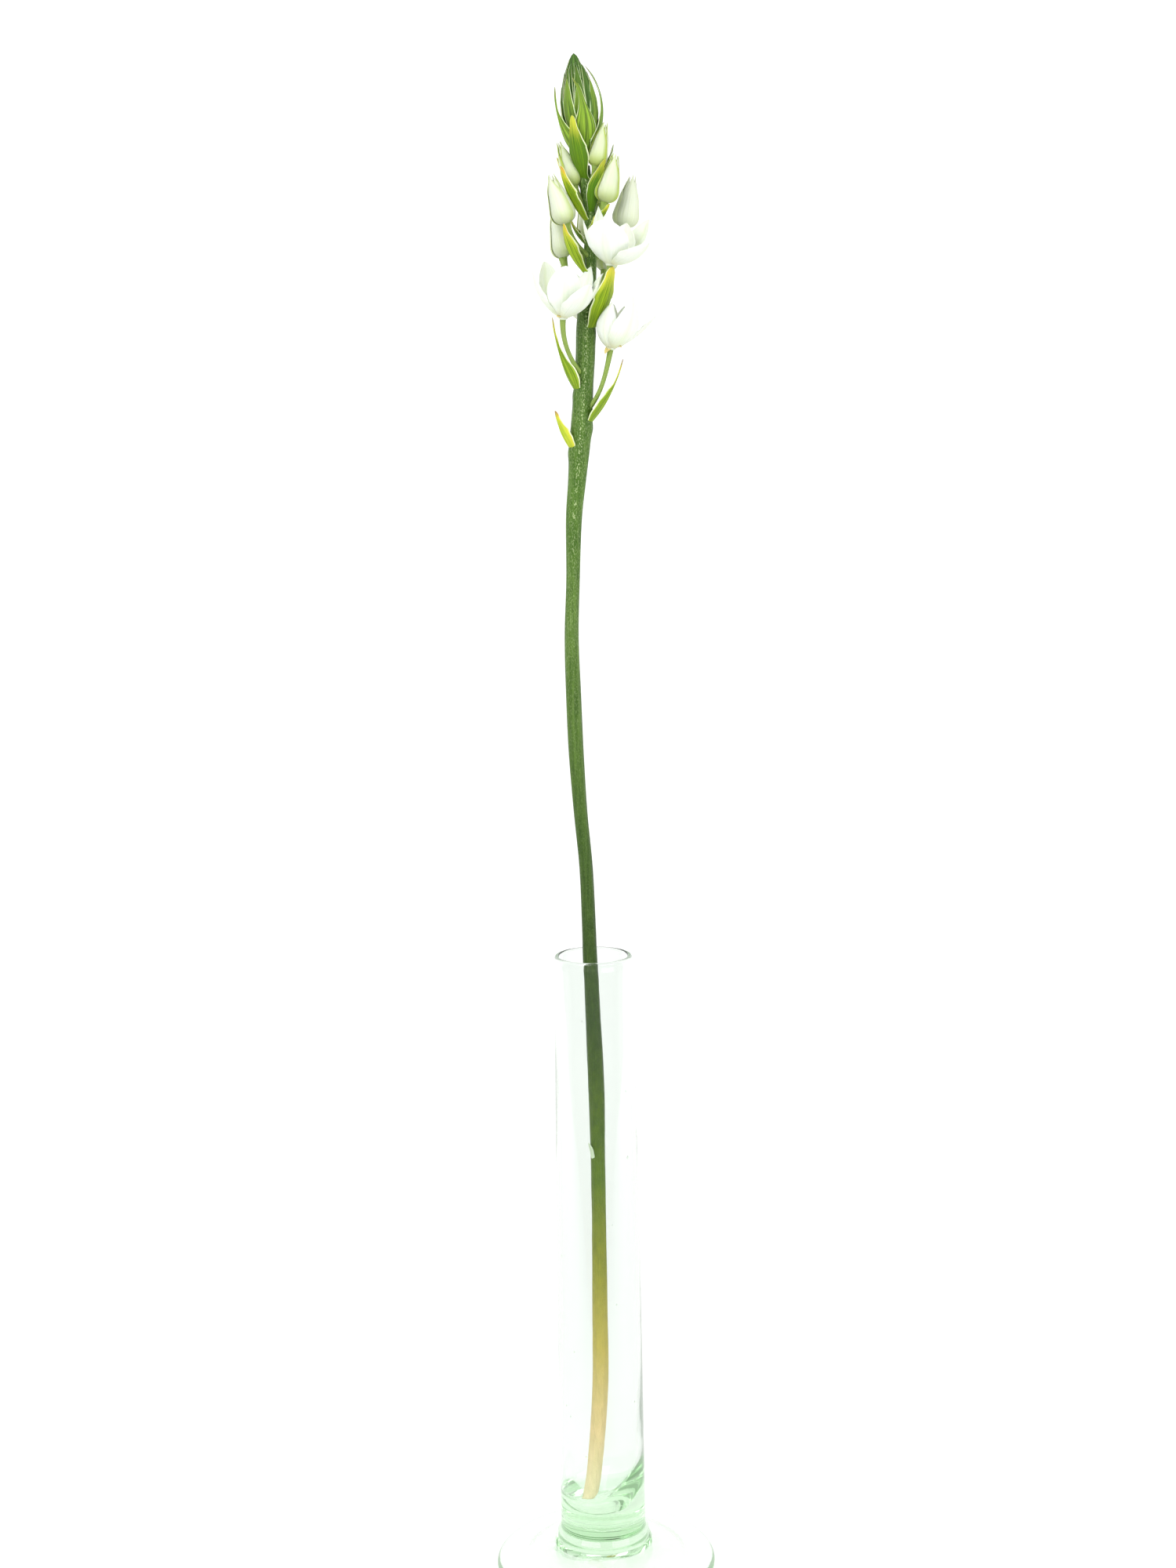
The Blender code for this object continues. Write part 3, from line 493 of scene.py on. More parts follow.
def smooth_route(points, steps):
    """A Catmull-Rom curve through the points, steps to a span, as whole arrays.

    Each span is half of 2b + (c - a) t + (2a - 5b + 4c - d) t t + (3b - a - 3c + d) t t t.
    """
    points = np.array(points, float)
    padded = np.vstack([2 * points[0] - points[1], points, 2 * points[-1] - points[-2]])
    a, b, c, d = (padded[i : len(points) - 1 + i, None] for i in range(4))
    t = (np.arange(steps) / steps)[None, :, None]
    bend = (2 * a - 5 * b + 4 * c - d) * t**2 + (3 * b - a - 3 * c + d) * t**3
    route = 0.5 * (2 * b + (c - a) * t + bend)
    return np.vstack([route.reshape(-1, points.shape[1]), points[-1]])


def tube_rings(route, radii, sideways, columns):
    """Rings round a route: the middle plus the radius times (cos a, sin a) in its square section.

    Sideways is a direction that the route never points in. radii is a number for each point of the
    route, or for each point of each ring.
    """
    tangent = np.gradient(route, axis=0)
    tangent /= np.linalg.norm(tangent, axis=1, keepdims=True)
    first = np.cross(np.array(sideways, float), tangent)
    first /= np.linalg.norm(first, axis=1, keepdims=True)
    second = np.cross(tangent, first)
    angle = np.linspace(0, math.tau, columns, endpoint=False)[None, :, None]
    radii = np.array(radii, float)
    radii = radii[:, :, None] if radii.ndim == 2 else radii[:, None, None]
    spoke = np.cos(angle) * first[:, None] + np.sin(angle) * second[:, None]
    return route[:, None] + radii * spoke


def rounded_end(rings):
    """Closes a tube softly: its last ring is repeated twice, drawn in towards its own middle."""
    middle = rings[-1].mean(0)
    spokes = rings[-1] - middle
    return np.concatenate([rings, [middle + spokes * 0.85], [middle + spokes * 0.02]])


def turned_rings(profile, columns):
    """A profile of radius and height swept once round the Z axis."""
    profile = np.array(profile, float)
    angle = np.linspace(0, math.tau, columns, endpoint=False)[None, :]
    radius, height = profile[:, :1], profile[:, 1:]
    return np.stack([radius * np.cos(angle), radius * np.sin(angle), height + 0 * angle], 2)


# Plant parts


def rachis_at(height):
    """The stem's middle and radius at a height, read from its own points."""
    table = np.array(STEM)
    return [float(np.interp(height, table[:, 2], table[:, i])) for i in (0, 1, 3)]


def bract_blade(bract):
    """A bract's blade, azimuth and place: its root is sunk in the rachis and its tip is given."""
    base_height, tip, width, bow, widest, narrowing, turn, cup, blunt = bract[:9]
    x, y, radius = rachis_at(base_height)
    root = BRACT_ROOT * radius
    distance = math.hypot(tip[0] - x, tip[1] - y)
    out = distance * math.cos(math.radians(turn)) - root
    rise = tip[2] - base_height
    chord_lean = math.degrees(math.atan2(out, rise))
    arc = math.radians(bow)
    blade = dict(
        BRACT_BLADE, length=math.hypot(out, rise) * arc / math.sin(arc), width=width,
        low=chord_lean + bow, high=chord_lean - bow, cup=cup,
        fullness=(narrowing * widest, narrowing * (1 - widest)), root=(root, 0.0),
        sway=-distance * math.sin(math.radians(turn)), phase=base_height, tip=blunt * width,
    )
    azimuth = math.degrees(math.atan2(tip[1] - y, tip[0] - x)) + turn
    return blade, azimuth, (x, y, base_height)


def make_bracts(material):
    """All bracts of the rachis, each with its own ripeness and dryness."""
    skins = []
    for bract in BRACTS:
        blade, azimuth, place = bract_blade(bract)
        skins.append(make_blade(blade, azimuth, *bract[9:], place=place))
    make_piece("bracts", joined(skins), material, "scape")


def make_stem(material):
    """The stem and rachis: a tube with fine ridges, and a soft swelling and keel under each bract.

    A ridge is a cosine round the section that turns with the height. A swelling is a bell of the
    height, and a keel a bell of the angle, on the bract's side. The flake is a blade.
    """
    route = smooth_route(STEM, 16)
    angle = np.linspace(0, math.tau, STEM_COLUMNS, endpoint=False)[None, :]
    height = route[:, 2:3]
    ridges = [high * np.cos(count * angle + twist * height) for count, twist, high in RIDGES]
    radii = route[:, 3:] * (1 + ridges[0] + ridges[1])
    for bract in BRACTS:
        _, azimuth, (_, _, base) = bract_blade(bract)
        away = np.cos(angle - math.radians(azimuth))
        swelling = np.exp(-(((height - base + 1.0) / SWELLING[1]) ** 2)) * np.clip(away, 0, 1) ** 2
        keel = smoothstep(-KEEL[1], -2, height - base) * (height < base + 2)
        keel = keel * np.exp((away - 1) / 0.05)
        radii = radii + SWELLING[0] * swelling + KEEL[0] * keel
    rings = rounded_end(tube_rings(route[:, :3], radii, (0, 1, 0), STEM_COLUMNS))
    rings = rounded_end(rings[::-1])
    height, length, width, azimuth = FLAKE
    x, y, radius = rachis_at(height)
    blade = dict(FLAKE_BLADE, length=length, width=width, root=(radius - 0.1, 0.0))
    flake = make_blade(blade, azimuth, 1.0, 1.0, place=(x, y, height))
    make_piece("stem", joined([skin(rings), flake]), material, "scape")


def pedicel_skin(base, tip, root_height, end_radius):
    """A Bezier curve from inside the rachis, out and up, and a little way into the flower's base."""
    x, y, _ = rachis_at(root_height)
    root, base = np.array((x, y, root_height)), np.array(base, float)
    axis = np.array(tip, float) - base
    axis /= np.linalg.norm(axis)
    end = base - axis * GAP
    reach = np.linalg.norm(end - root)
    outward = np.array([end[0] - root[0], end[1] - root[1], 0.0])
    outward /= np.linalg.norm(outward)
    away = outward * PEDICEL_SPREAD[0] + np.array([0, 0, PEDICEL_SPREAD[1]])
    first = root + away * reach * PEDICEL_EASE[0]
    second = end - axis * reach * PEDICEL_EASE[1]
    end = base + axis * PEDICEL_SINK
    t = np.linspace(0, 1, 40)[:, None]
    route = (
        root * (1 - t) ** 3 + 3 * first * (1 - t) ** 2 * t + 3 * second * (1 - t) * t**2 + end * t**3
    )
    t = t[:, 0]
    radii = PEDICEL_RADIUS + (end_radius - PEDICEL_RADIUS) * t**5 + PEDICEL_FLARE * (1 - t) ** 6
    sideways = np.cross(outward, (0, 0, 1))
    return skin(rounded_end(tube_rings(route, radii, sideways, 20)), tone=0.8)


def make_pedicels(material):
    """The stalk of each bud, widened under it, and of each flower."""
    skins = [
        pedicel_skin(base, tip, height, end_radius)
        for items, end_radius in zip((BUDS, FLOWERS), PEDICEL_END_RADIUS)
        for base, tip, height, *_rest in items.values()
    ]
    make_piece("pedicels", joined(skins), material, "scape")


def wrapped_rings(form, ends, azimuth, sweep, layer, lift, keel, thickness):
    """A blade wrapped on a round form, as rings round its section.

    The form is a radius for each height. At a share t of the way from the root to the tip, which
    stand at the two heights in ends, the blade lies layer above the form and spans sweep degrees to
    each side. One edge is lifted over the next blade, the middle is raised into a keel, and the
    inner face lies thickness further in, less at the edges.
    """
    heights, radii = form
    t = np.linspace(0, 1, len(sweep))[:, None]
    s = np.sin(np.linspace(-np.pi / 2, np.pi / 2, WRAP_COLUMNS))[None, :]
    height = ends[0] + (ends[1] - ends[0]) * t + 0 * s
    angle = np.radians(azimuth + s * sweep[:, None])
    radius = np.interp(height, heights, radii) + layer + lift * s * (1 - t**3)
    radius = radius + keel * np.exp(-((s / 0.22) ** 2)) * np.sin(np.pi * t) ** 0.5
    depth = thickness * (0.2 + 0.8 * (1 - np.abs(s) ** 4)) * np.minimum(1, 0.25 + 6 * (1 - t))
    inner = np.maximum(radius - depth, 0.02)
    outer = np.stack([radius * np.cos(angle), radius * np.sin(angle), height], 2)
    inner = np.stack([inner * np.cos(angle), inner * np.sin(angle), height], 2)
    return np.concatenate([outer, inner[:, ::-1]], 1)


def make_bud(name, bud, material):
    """Three outer tepals wrapped over three inner ones, whose points stand apart at the tip.

    Below its widest height the bud is a quarter of an ellipse, and above it a straight cone that
    narrows a little more near the points.
    """
    base, tip, _, radius, green, azimuth = bud
    length = float(np.linalg.norm(np.array(tip) - np.array(base)))
    share = np.linspace(0, 1, 60)
    foot = np.sqrt(1 - (1 - np.clip(share / BUD_WIDEST, 0.002, 1)) ** 2)
    taper = 1 + BUD_TAPER * (BUD_WIDEST - share)
    radii = radius * 0.97 * foot * taper * (1 - BUD_NARROWING * smoothstep(0.6, 1, share))
    draw = np.random.default_rng(int(azimuth))
    t = np.linspace(0, 1, 36)
    skins = []
    for index in range(6):
        inner = index // 3
        height = length * draw.uniform(*BUD_LENGTHS[inner])
        sweep = BUD_SWEEPS[inner] * (1 - smoothstep(0.5, 1.04, t)) ** 0.75 + 0.5
        rings = wrapped_rings(
            (share * length, radii), (0.0, height), azimuth + 120 * index + 60 * inner, sweep,
            BUD_LAYERS[inner], *BUD_FOLD,
        )
        skins.append(skin(stand_on_axis(rings, base, tip), blade_across(WRAP_COLUMNS), green))
    make_piece(name, joined(skins), material, name)


def make_flower(name, flower, petal, centre_materials):
    """Six tepals on a receptacle, and the ovary, style and stamens inside."""
    base, tip, _, length, width, azimuth, bow, straight, tepals = flower
    axis = base, tip
    draw = np.random.default_rng(TEPAL_SEED)
    skins = []
    for index, (lean, aside, broad, long, point) in enumerate(tepals):
        bend = bow * STRAIGHT_SHARE if index == straight else bow
        scale = draw.uniform(0.98, 1.02)
        inner = index % 2
        out = TEPAL_ROOT[0] + OUTER_STEP * (1 - inner)
        blade = dict(
            TEPAL_BLADE, length=length * long * scale, width=width * broad, low=lean + bend,
            high=lean - bend, fullness=(TEPAL_FULLNESS, point), root=(out, TEPAL_ROOT[1]),
            phase=index * 1.9 + azimuth, curl=TEPAL_CURLS[inner],
        )
        turn = azimuth + 60 * index + aside + draw.uniform(-2, 2)
        dry = 1.0 if index == straight else draw.uniform(0.0, 0.35)
        skins.append(make_blade(blade, turn, 0.2 + 0.15 * (index % 3), dry, axis=axis))
    angle = np.linspace(-np.pi / 2, np.pi / 2, 14)
    profile = np.stack([RECEPTACLE[0] * np.cos(angle), RECEPTACLE[1] * (1 + np.sin(angle))], 1)
    profile[[0, -1], 0] = 0.02
    skins.append(skin(stand_on_axis(turned_rings(profile, 28), base, tip), tone=1.0))
    for owner, turn, up, length, width, lean in SCRAPS:
        if owner == name:
            blade = dict(
                SCRAP_BLADE, length=length, width=width, low=lean, high=lean + 40, root=(1.2, up),
                phase=turn,
            )
            skins.append(make_blade(blade, turn, 0.2, WITHERED, axis=axis))
    make_piece(name + "_tepals", joined(skins), petal, name + "_tepals")
    make_centre(name, base, tip, centre_materials)


def make_centre(name, base, tip, materials):
    """An egg-shaped ovary with a thin style, and six filaments that carry long anthers.

    The ovary's section has three soft lobes, and an anther's has four.
    """
    floor = 2 * RECEPTACLE[1] + GAP
    angle = np.linspace(-np.pi / 2, np.pi / 2, 22)
    radius, half_height = OVARY
    level = floor - OVARY_SINK + half_height * (1 + np.sin(angle))
    egg = np.stack([radius * np.cos(angle), level], 1)
    style = np.array(STYLE) + (0, floor)
    profile = np.vstack([egg[egg[:, 0] > style[0, 0]], style])
    profile[0, 0] = 0.05
    ovary = turned_rings(profile, 36)
    turn = np.linspace(0, math.tau, 36, endpoint=False)
    ovary[:, :, :2] *= (1 + OVARY_LOBES * np.cos(3 * turn))[None, :, None]
    length, radius, taper, lean = FILAMENT
    lean = math.radians(lean)
    out, up = FILAMENT_ROOT
    height = np.linspace(0, length, 24)
    route = np.stack(
        [out + height * math.sin(lean), 0 * height, floor + up + height * math.cos(lean)], 1
    )
    radii = radius - taper * (height / length) ** 0.7
    filament = rounded_end(tube_rings(route, radii, (0, 1, 0), 12))
    radius, half_length = ANTHER
    swing = np.linspace(-1, 1, 16)
    x, _, z = route[-1]
    body = np.stack([x + ANTHER_LEAN * swing, ANTHER_LEAN * swing, z + half_length * swing], 1)
    around = np.linspace(0, math.tau, 16, endpoint=False)[None, :]
    radii = radius * np.sqrt(np.clip(1 - (swing * 0.97) ** 2, 0, 1))[:, None]
    anther = tube_rings(body, radii * (1 - 0.22 * np.cos(2 * around) ** 2), (0, 1, 0), 16)
    for part, form, count in (("ovary", ovary, 1), ("filaments", filament, 6), ("anthers", anther, 6)):
        turned = [turn_about_z(form, 60 * index) for index in range(count)]
        surface = joined([skin(stand_on_axis(rings, base, tip)) for rings in turned])
        make_piece(name + "_" + part, surface, materials[part], name + "_centre")


def make_crown(material):
    """A core covered by rings of narrow scales, with longer awned bracts standing off it."""
    draw = np.random.default_rng(SCALE_SEED)
    core = np.array(CROWN_CORE)
    level = np.linspace(0, 1, 40) * core[-1, 0]
    radius = np.maximum(np.interp(level, core[:, 0], core[:, 1]) * CORE_SHARE, 0.03)
    axis = CROWN_BASE, CROWN_TIP
    skins = [skin(stand_on_axis(turned_rings(np.stack([radius, level], 1), 28), *axis))]
    t = np.linspace(0, 1, 44)
    for count, low, high, width, layer, azimuth, tone in SCALE_RINGS:
        for index in range(count):
            top = high - draw.uniform(0.0, 3.0)
            radius = np.interp(low + (top - low) * t, core[:, 0], core[:, 1])
            half = width / 2 * outline(np.clip(t, 0.01, 0.999), SCALE_FULLNESS)
            sweep = np.degrees(half * draw.uniform(0.9, 1.1) / np.maximum(radius, 1.0)) + 1.2
            turn = azimuth + 360 / count * index + draw.uniform(-6, 6)
            rings = wrapped_rings(
                (core[:, 0], core[:, 1]), (low, top), turn, sweep, layer, *SCALE_FOLD
            )
            rings = stand_on_axis(rings, *axis)
            skins.append(skin(rings, blade_across(WRAP_COLUMNS), tone + draw.uniform(0, 0.15)))
    make_piece("crown", joined(skins), material, "crown")
    skins = []
    for azimuth, height, out, length, width, low, high, sway, fullness, tone in OUTER_SCALES:
        blade = dict(
            OUTER_BLADE, length=length, width=width, low=low, high=high, fullness=fullness,
            root=(out, height), sway=sway, phase=azimuth,
        )
        skins.append(make_blade(blade, azimuth, tone, 0.3, axis=axis))
    make_piece("crown_bracts", joined(skins), material, "crown")


# Vase


def tube_radius(height):
    """The vase's outer radius between its foot and its rim."""
    return TUBE_RADIUS - TUBE_NARROWING * (height / RIM_HEIGHT) ** NARROWING_POWER


def vase_profile():
    """Radius and height from the middle of the inside floor, over the rim, to under the foot."""
    bore_start = FLOOR_HEIGHT + BOWL_RISE
    bore_radius = tube_radius(bore_start) - WALL
    floor = [np.linspace(0.02, FLOOR_RADIUS, 8)[:-1], np.full(7, FLOOR_HEIGHT)]
    share = np.linspace(0, 1, 20)
    bowl = [
        FLOOR_RADIUS + (bore_radius - FLOOR_RADIUS) * (1 - (1 - share) ** BOWL_POWER),
        FLOOR_HEIGHT + BOWL_RISE * share,
    ]
    height = np.linspace(bore_start, RIM_HEIGHT - 2 * RIM_BEAD, 70)[1:]
    bore = [tube_radius(height) - WALL, height]
    middle = tube_radius(RIM_HEIGHT) - RIM_BEAD
    angle = np.linspace(np.pi, 0, 13)
    rim = [middle + RIM_BEAD * np.cos(angle), RIM_HEIGHT + RIM_BEAD * np.sin(angle)]
    height = np.linspace(RIM_HEIGHT - 2 * RIM_BEAD, TUBE_FOOT_HEIGHT, 76)
    outside = [tube_radius(height), height]
    collar = smooth_route(COLLAR[::-1], 4).T
    edge_middle = FOOT_RADIUS - FOOT_EDGE
    dome_radius, dome_height = DOME_TOP
    radius = np.linspace(dome_radius, edge_middle, 20)[:-1]
    share = (edge_middle - radius) / (edge_middle - dome_radius)
    dome = [radius, 2 * FOOT_EDGE + (dome_height - 2 * FOOT_EDGE) * share**DOME_POWER]
    angle = np.linspace(np.pi / 2, -np.pi / 2, 15)
    edge = [edge_middle + FOOT_EDGE * np.cos(angle), FOOT_EDGE * (1 + np.sin(angle))]
    radius = np.linspace(REST_RING_INNER, 0.02, 16)
    under = [radius, HOLLOW_UNDER_FOOT * (1 - (radius / REST_RING_INNER) ** 2)]
    parts = (floor, bowl, bore, rim, outside, collar, dome, edge, under)
    return np.hstack([np.array(part) for part in parts]).T


def make_vase(material):
    """The profile swept round, with the tube set off to one side, and the cavity a little more.

    Slow waves run round and up the bore. The seeds are small ellipsoids just inside the outer face,
    and the seam is a thin wavy ring in the solid bottom.
    """
    profile = vase_profile()
    rings = turned_rings(profile, 144)
    height = rings[:, :, 2]
    rings[:, :, 0] += TUBE_SHIFT * smoothstep(*SHIFT_HEIGHTS, height)
    inside = (np.arange(len(profile)) < np.argmax(profile[:, 1]))[:, None]
    low, bowl = (1 - smoothstep(*heights, height) for heights in CAVITY_SHIFT_HEIGHTS)
    rings[:, :, 0] += inside * (CAVITY_SHIFTS[0] * low + CAVITY_SHIFTS[1] * bowl)
    angle = np.arctan2(rings[:, :, 1], rings[:, :, 0])
    side = (1 + np.cos(angle)) / 2
    lift = BOWL_LIFT[0] * (1 - side) ** 2 + BOWL_LIFT[1] * side**2
    share = (height - FLOOR_HEIGHT) / BOWL_RISE
    share = np.minimum(share, 1 - smoothstep(*BOWL_LIFT_HEIGHTS, height))
    rings[:, :, 2] += inside * lift * share
    wave = np.sin(2 * angle + height / 31) + 0.6 * np.sin(3 * angle - height / 17 + 2)
    rings[:, :, :2] *= (1 + BORE_WAVE * wave * inside * smoothstep(40, 70, height))[:, :, None]
    make_piece("vase_glass", skin(rings), material, "vase")
    drops = []
    for azimuth, height, radius, tall in SEEDS:
        angle = np.linspace(-np.pi / 2, np.pi / 2, 14)
        profile = np.stack([radius * np.cos(angle), radius * tall * np.sin(angle)], 1)
        profile[[0, -1], 0] = 0.004
        turn = math.radians(azimuth)
        reach = tube_radius(height) - 0.35 * radius
        place = (TUBE_SHIFT + reach * math.cos(turn), reach * math.sin(turn), height)
        drops.append(skin(turned_rings(profile, 20) + np.array(place)))
    make_piece("vase_seeds", joined(drops), material, "vase")
    radius, height, thickness, wave = SEAM
    turn = np.linspace(0, math.tau, 144, endpoint=False)[:, None]
    around = np.linspace(0, math.tau, 12, endpoint=False)[None, :]
    level = height + wave * (np.sin(5 * turn) + 0.6 * np.sin(13 * turn + 1)) * np.sin(turn / 2) ** 2
    reach = radius + thickness * np.cos(around)
    seam = [
        TUBE_SHIFT + reach * np.cos(turn), reach * np.sin(turn),
        level + thickness * np.sin(around) + 0 * turn,
    ]
    make_piece("vase_seam", skin(np.stack(seam, 2), endless=True), material, "vase")


# Materials


def add(tree, kind, values=(), **settings):
    """A shader node with its settings. Values, by socket name or number, are numbers or sockets."""
    made = tree.nodes.new("ShaderNode" + kind)
    for name, value in settings.items():
        setattr(made, name, value)
    for name, value in dict(values).items():
        if isinstance(value, bpy.types.NodeSocket):
            tree.links.new(value, made.inputs[name])
        else:
            made.inputs[name].default_value = value
    return made


def math_node(tree, operation, a, b=0.0):
    return add(tree, "Math", {0: a, 1: b}, operation=operation).outputs[0]


def times(tree, a, b):
    return math_node(tree, "MULTIPLY", a, b)


def plus(tree, a, b):
    return math_node(tree, "ADD", a, b)


def minus(tree, a, b):
    return math_node(tree, "SUBTRACT", a, b)


def mark(tree, name):
    """A mark of the mesh's points, tone or dry."""
    return add(tree, "Attribute", attribute_name=name).outputs["Fac"]


def between(tree, value, low, high, to_low=0.0, to_high=1.0):
    """A smooth step of value between low and high."""
    return add(
        tree, "MapRange", {0: value, 1: low, 2: high, 3: to_low, 4: to_high},
        interpolation_type="SMOOTHSTEP",
    ).outputs[0]


def mix_colour(tree, share, a, b, blend="MIX"):
    mixed = add(tree, "Mix", {0: share, 6: a, 7: b}, data_type="RGBA", blend_type=blend)
    return mixed.outputs[2]


def colour(*rgb):
    return (*rgb, 1.0)


def new_group(name, inputs, outputs):
    """An empty node group with float or vector inputs, given with their defaults, and outputs."""
    tree = bpy.data.node_groups.new(name, "ShaderNodeTree")
    for label, default in inputs.items():
        kind = "NodeSocketVector" if default is None else "NodeSocketFloat"
        socket = tree.interface.new_socket(label, in_out="INPUT", socket_type=kind)
        if default is not None:
            socket.default_value = default
    for label in outputs:
        tree.interface.new_socket(label, in_out="OUTPUT", socket_type="NodeSocketFloat")
    return tree, tree.nodes.new("NodeGroupInput").outputs, tree.nodes.new("NodeGroupOutput").inputs


def veins_group():
    """Fine veins that run the length of a blade: noise stretched along it, by its UV map."""
    tree, given, out = new_group(
        "lengthwise veins", {"Count": 14.0, "Drift": 1.5}, ["Vein", "Edge", "Along"]
    )
    uv = add(tree, "UVMap", uv_map="Surface").outputs[0]
    split = add(tree, "SeparateXYZ", {0: uv}).outputs
    tone = mark(tree, "tone")
    spot = add(
        tree, "CombineXYZ",
        {
            0: times(tree, split[0], given["Count"]),
            1: times(tree, split[1], given["Drift"]),
            2: times(tree, tone, 40.0),
        },
    ).outputs[0]
    noise = add(tree, "TexNoise", {"Vector": spot, "Scale": 1.0, "Detail": 3.0, "Roughness": 0.6})
    tree.links.new(between(tree, noise.outputs[0], 0.35, 0.65), out["Vein"])
    offset = math_node(tree, "ABSOLUTE", minus(tree, split[0], 0.5))
    tree.links.new(times(tree, offset, 2.0), out["Edge"])
    tree.links.new(split[1], out["Along"])
    return tree


def mottle_group():
    """Soft patches, from coarse and fine noise on Object coordinates stretched along Z."""
    tree, given, out = new_group("plant mottle", {"Size": 300.0, "Stretch": 0.3}, ["Patch", "Grain"])
    place = add(tree, "TexCoord").outputs["Object"]
    squeeze = add(tree, "CombineXYZ", {0: 1.0, 1: 1.0, 2: given["Stretch"]}).outputs[0]
    place = add(tree, "VectorMath", {0: place, 1: squeeze}, operation="MULTIPLY").outputs[0]
    patch = add(tree, "TexNoise", {"Vector": place, "Scale": given["Size"], "Detail": 4.0})
    grain = add(
        tree, "TexNoise",
        {"Vector": place, "Scale": times(tree, given["Size"], 6.0), "Detail": 2.0},
    )
    tree.links.new(between(tree, patch.outputs[0], 0.3, 0.7), out["Patch"])
    tree.links.new(between(tree, grain.outputs[0], 0.3, 0.7), out["Grain"])
    return tree


def use_group(tree, group, **values):
    made = tree.nodes.new("ShaderNodeGroup")
    made.node_tree = group
    for name, value in values.items():
        made.inputs[name].default_value = value
    return made.outputs


def new_material(name, **constants):
    """A material whose Principled shader has the given constants, by socket name with _ for space."""
    material = bpy.data.materials.new(name)
    material.use_nodes = True
    tree = material.node_tree
    shader = tree.nodes["Principled BSDF"]
    for socket, value in constants.items():
        shader.inputs[socket.replace("_", " ")].default_value = value
    return material, tree, shader.inputs


def add_bump(tree, inputs, height, distance, strength):
    bump = add(tree, "Bump", {"Height": height, "Distance": distance, "Strength": strength})
    tree.links.new(bump.outputs[0], inputs["Normal"])


def dress(tree, inputs, body, mask, roughness, height, distance, strength):
    """Gives a shader its colour, a roughness between two values by a mask, and its bump."""
    tree.links.new(body, inputs["Base Color"])
    tree.links.new(between(tree, mask, 0.0, 1.0, *roughness), inputs["Roughness"])
    add_bump(tree, inputs, height, distance, strength)


def stem_material(groups):
    """Green above, fading through yellow green to cream in the glass, with waxy flecks.

    The flecks are densest along one line up the front of the rachis, a painted highlight. The tone
    mark makes it paler, as on the pedicels, and the dry mark makes it whitish, as on the flake.
    """
    material, tree, shader = new_material("stem skin", Specular_IOR_Level=0.3)
    place = add(tree, "TexCoord").outputs["Object"]
    height = add(tree, "SeparateXYZ", {0: place}).outputs[2]
    share = math_node(tree, "DIVIDE", height, COLOUR_BAND * MM)
    ramp = add(tree, "ValToRGB", {0: share})
    band = ramp.color_ramp
    while len(band.elements) < len(STEM_COLOURS):
        band.elements.new(0.5)
    for element, (level, rgb) in zip(band.elements, STEM_COLOURS):
        element.position = level / COLOUR_BAND
        element.color = colour(*rgb)
    mottle = use_group(tree, groups["mottle"], Size=420.0, Stretch=0.5)
    streak = use_group(tree, groups["mottle"], Size=1100.0, Stretch=0.04)
    blotch = times(tree, mottle["Patch"], between(tree, height, 0.1, 0.2, 0.3, 0.8))
    body = mix_colour(tree, blotch, ramp.outputs[0], colour(0.64, 0.74, 0.6), "MULTIPLY")
    pale = times(tree, streak["Patch"], between(tree, height, 0.18, 0.42, 0.0, 0.3))
    body = mix_colour(tree, pale, body, colour(0.23, 0.38, 0.08))
    wax = use_group(tree, groups["mottle"], Size=2600.0, Stretch=0.45)
    bloom_and_highlight = between(tree, height, 0.3, 0.42, 0.03, 0.2)
    uv = add(tree, "UVMap", uv_map="Surface").outputs[0]
    around = add(tree, "SeparateXYZ", {0: uv}).outputs[0]
    # Painted highlight: above 0.4 m the pale flecks are painted denser along one line up the front of
    # the rachis.
    off_highlight_line = math_node(tree, "ABSOLUTE", minus(tree, around, PAINTED_HIGHLIGHT_AZIMUTH / 360))
    painted_highlight = between(tree, off_highlight_line, 0.05, 0.005, 0.0, 0.5)
    bloom_and_highlight = plus(tree, bloom_and_highlight, times(tree, painted_highlight, between(tree, height, 0.4, 0.45)))
    wax_fleck_and_highlight = times(tree, between(tree, wax["Patch"], 0.6, 0.85), bloom_and_highlight)
    body = mix_colour(tree, wax_fleck_and_highlight, body, colour(0.54, 0.66, 0.32))
    body = mix_colour(tree, mark(tree, "tone"), body, colour(0.3, 0.42, 0.09))
    body = mix_colour(tree, mark(tree, "dry"), body, colour(0.6, 0.68, 0.5))
    relief = plus(tree, streak["Patch"], times(tree, mottle["Grain"], 0.5))
    dress(tree, shader, body, mottle["Grain"], (0.3, 0.55), relief, 0.0003, 0.8)
    return material


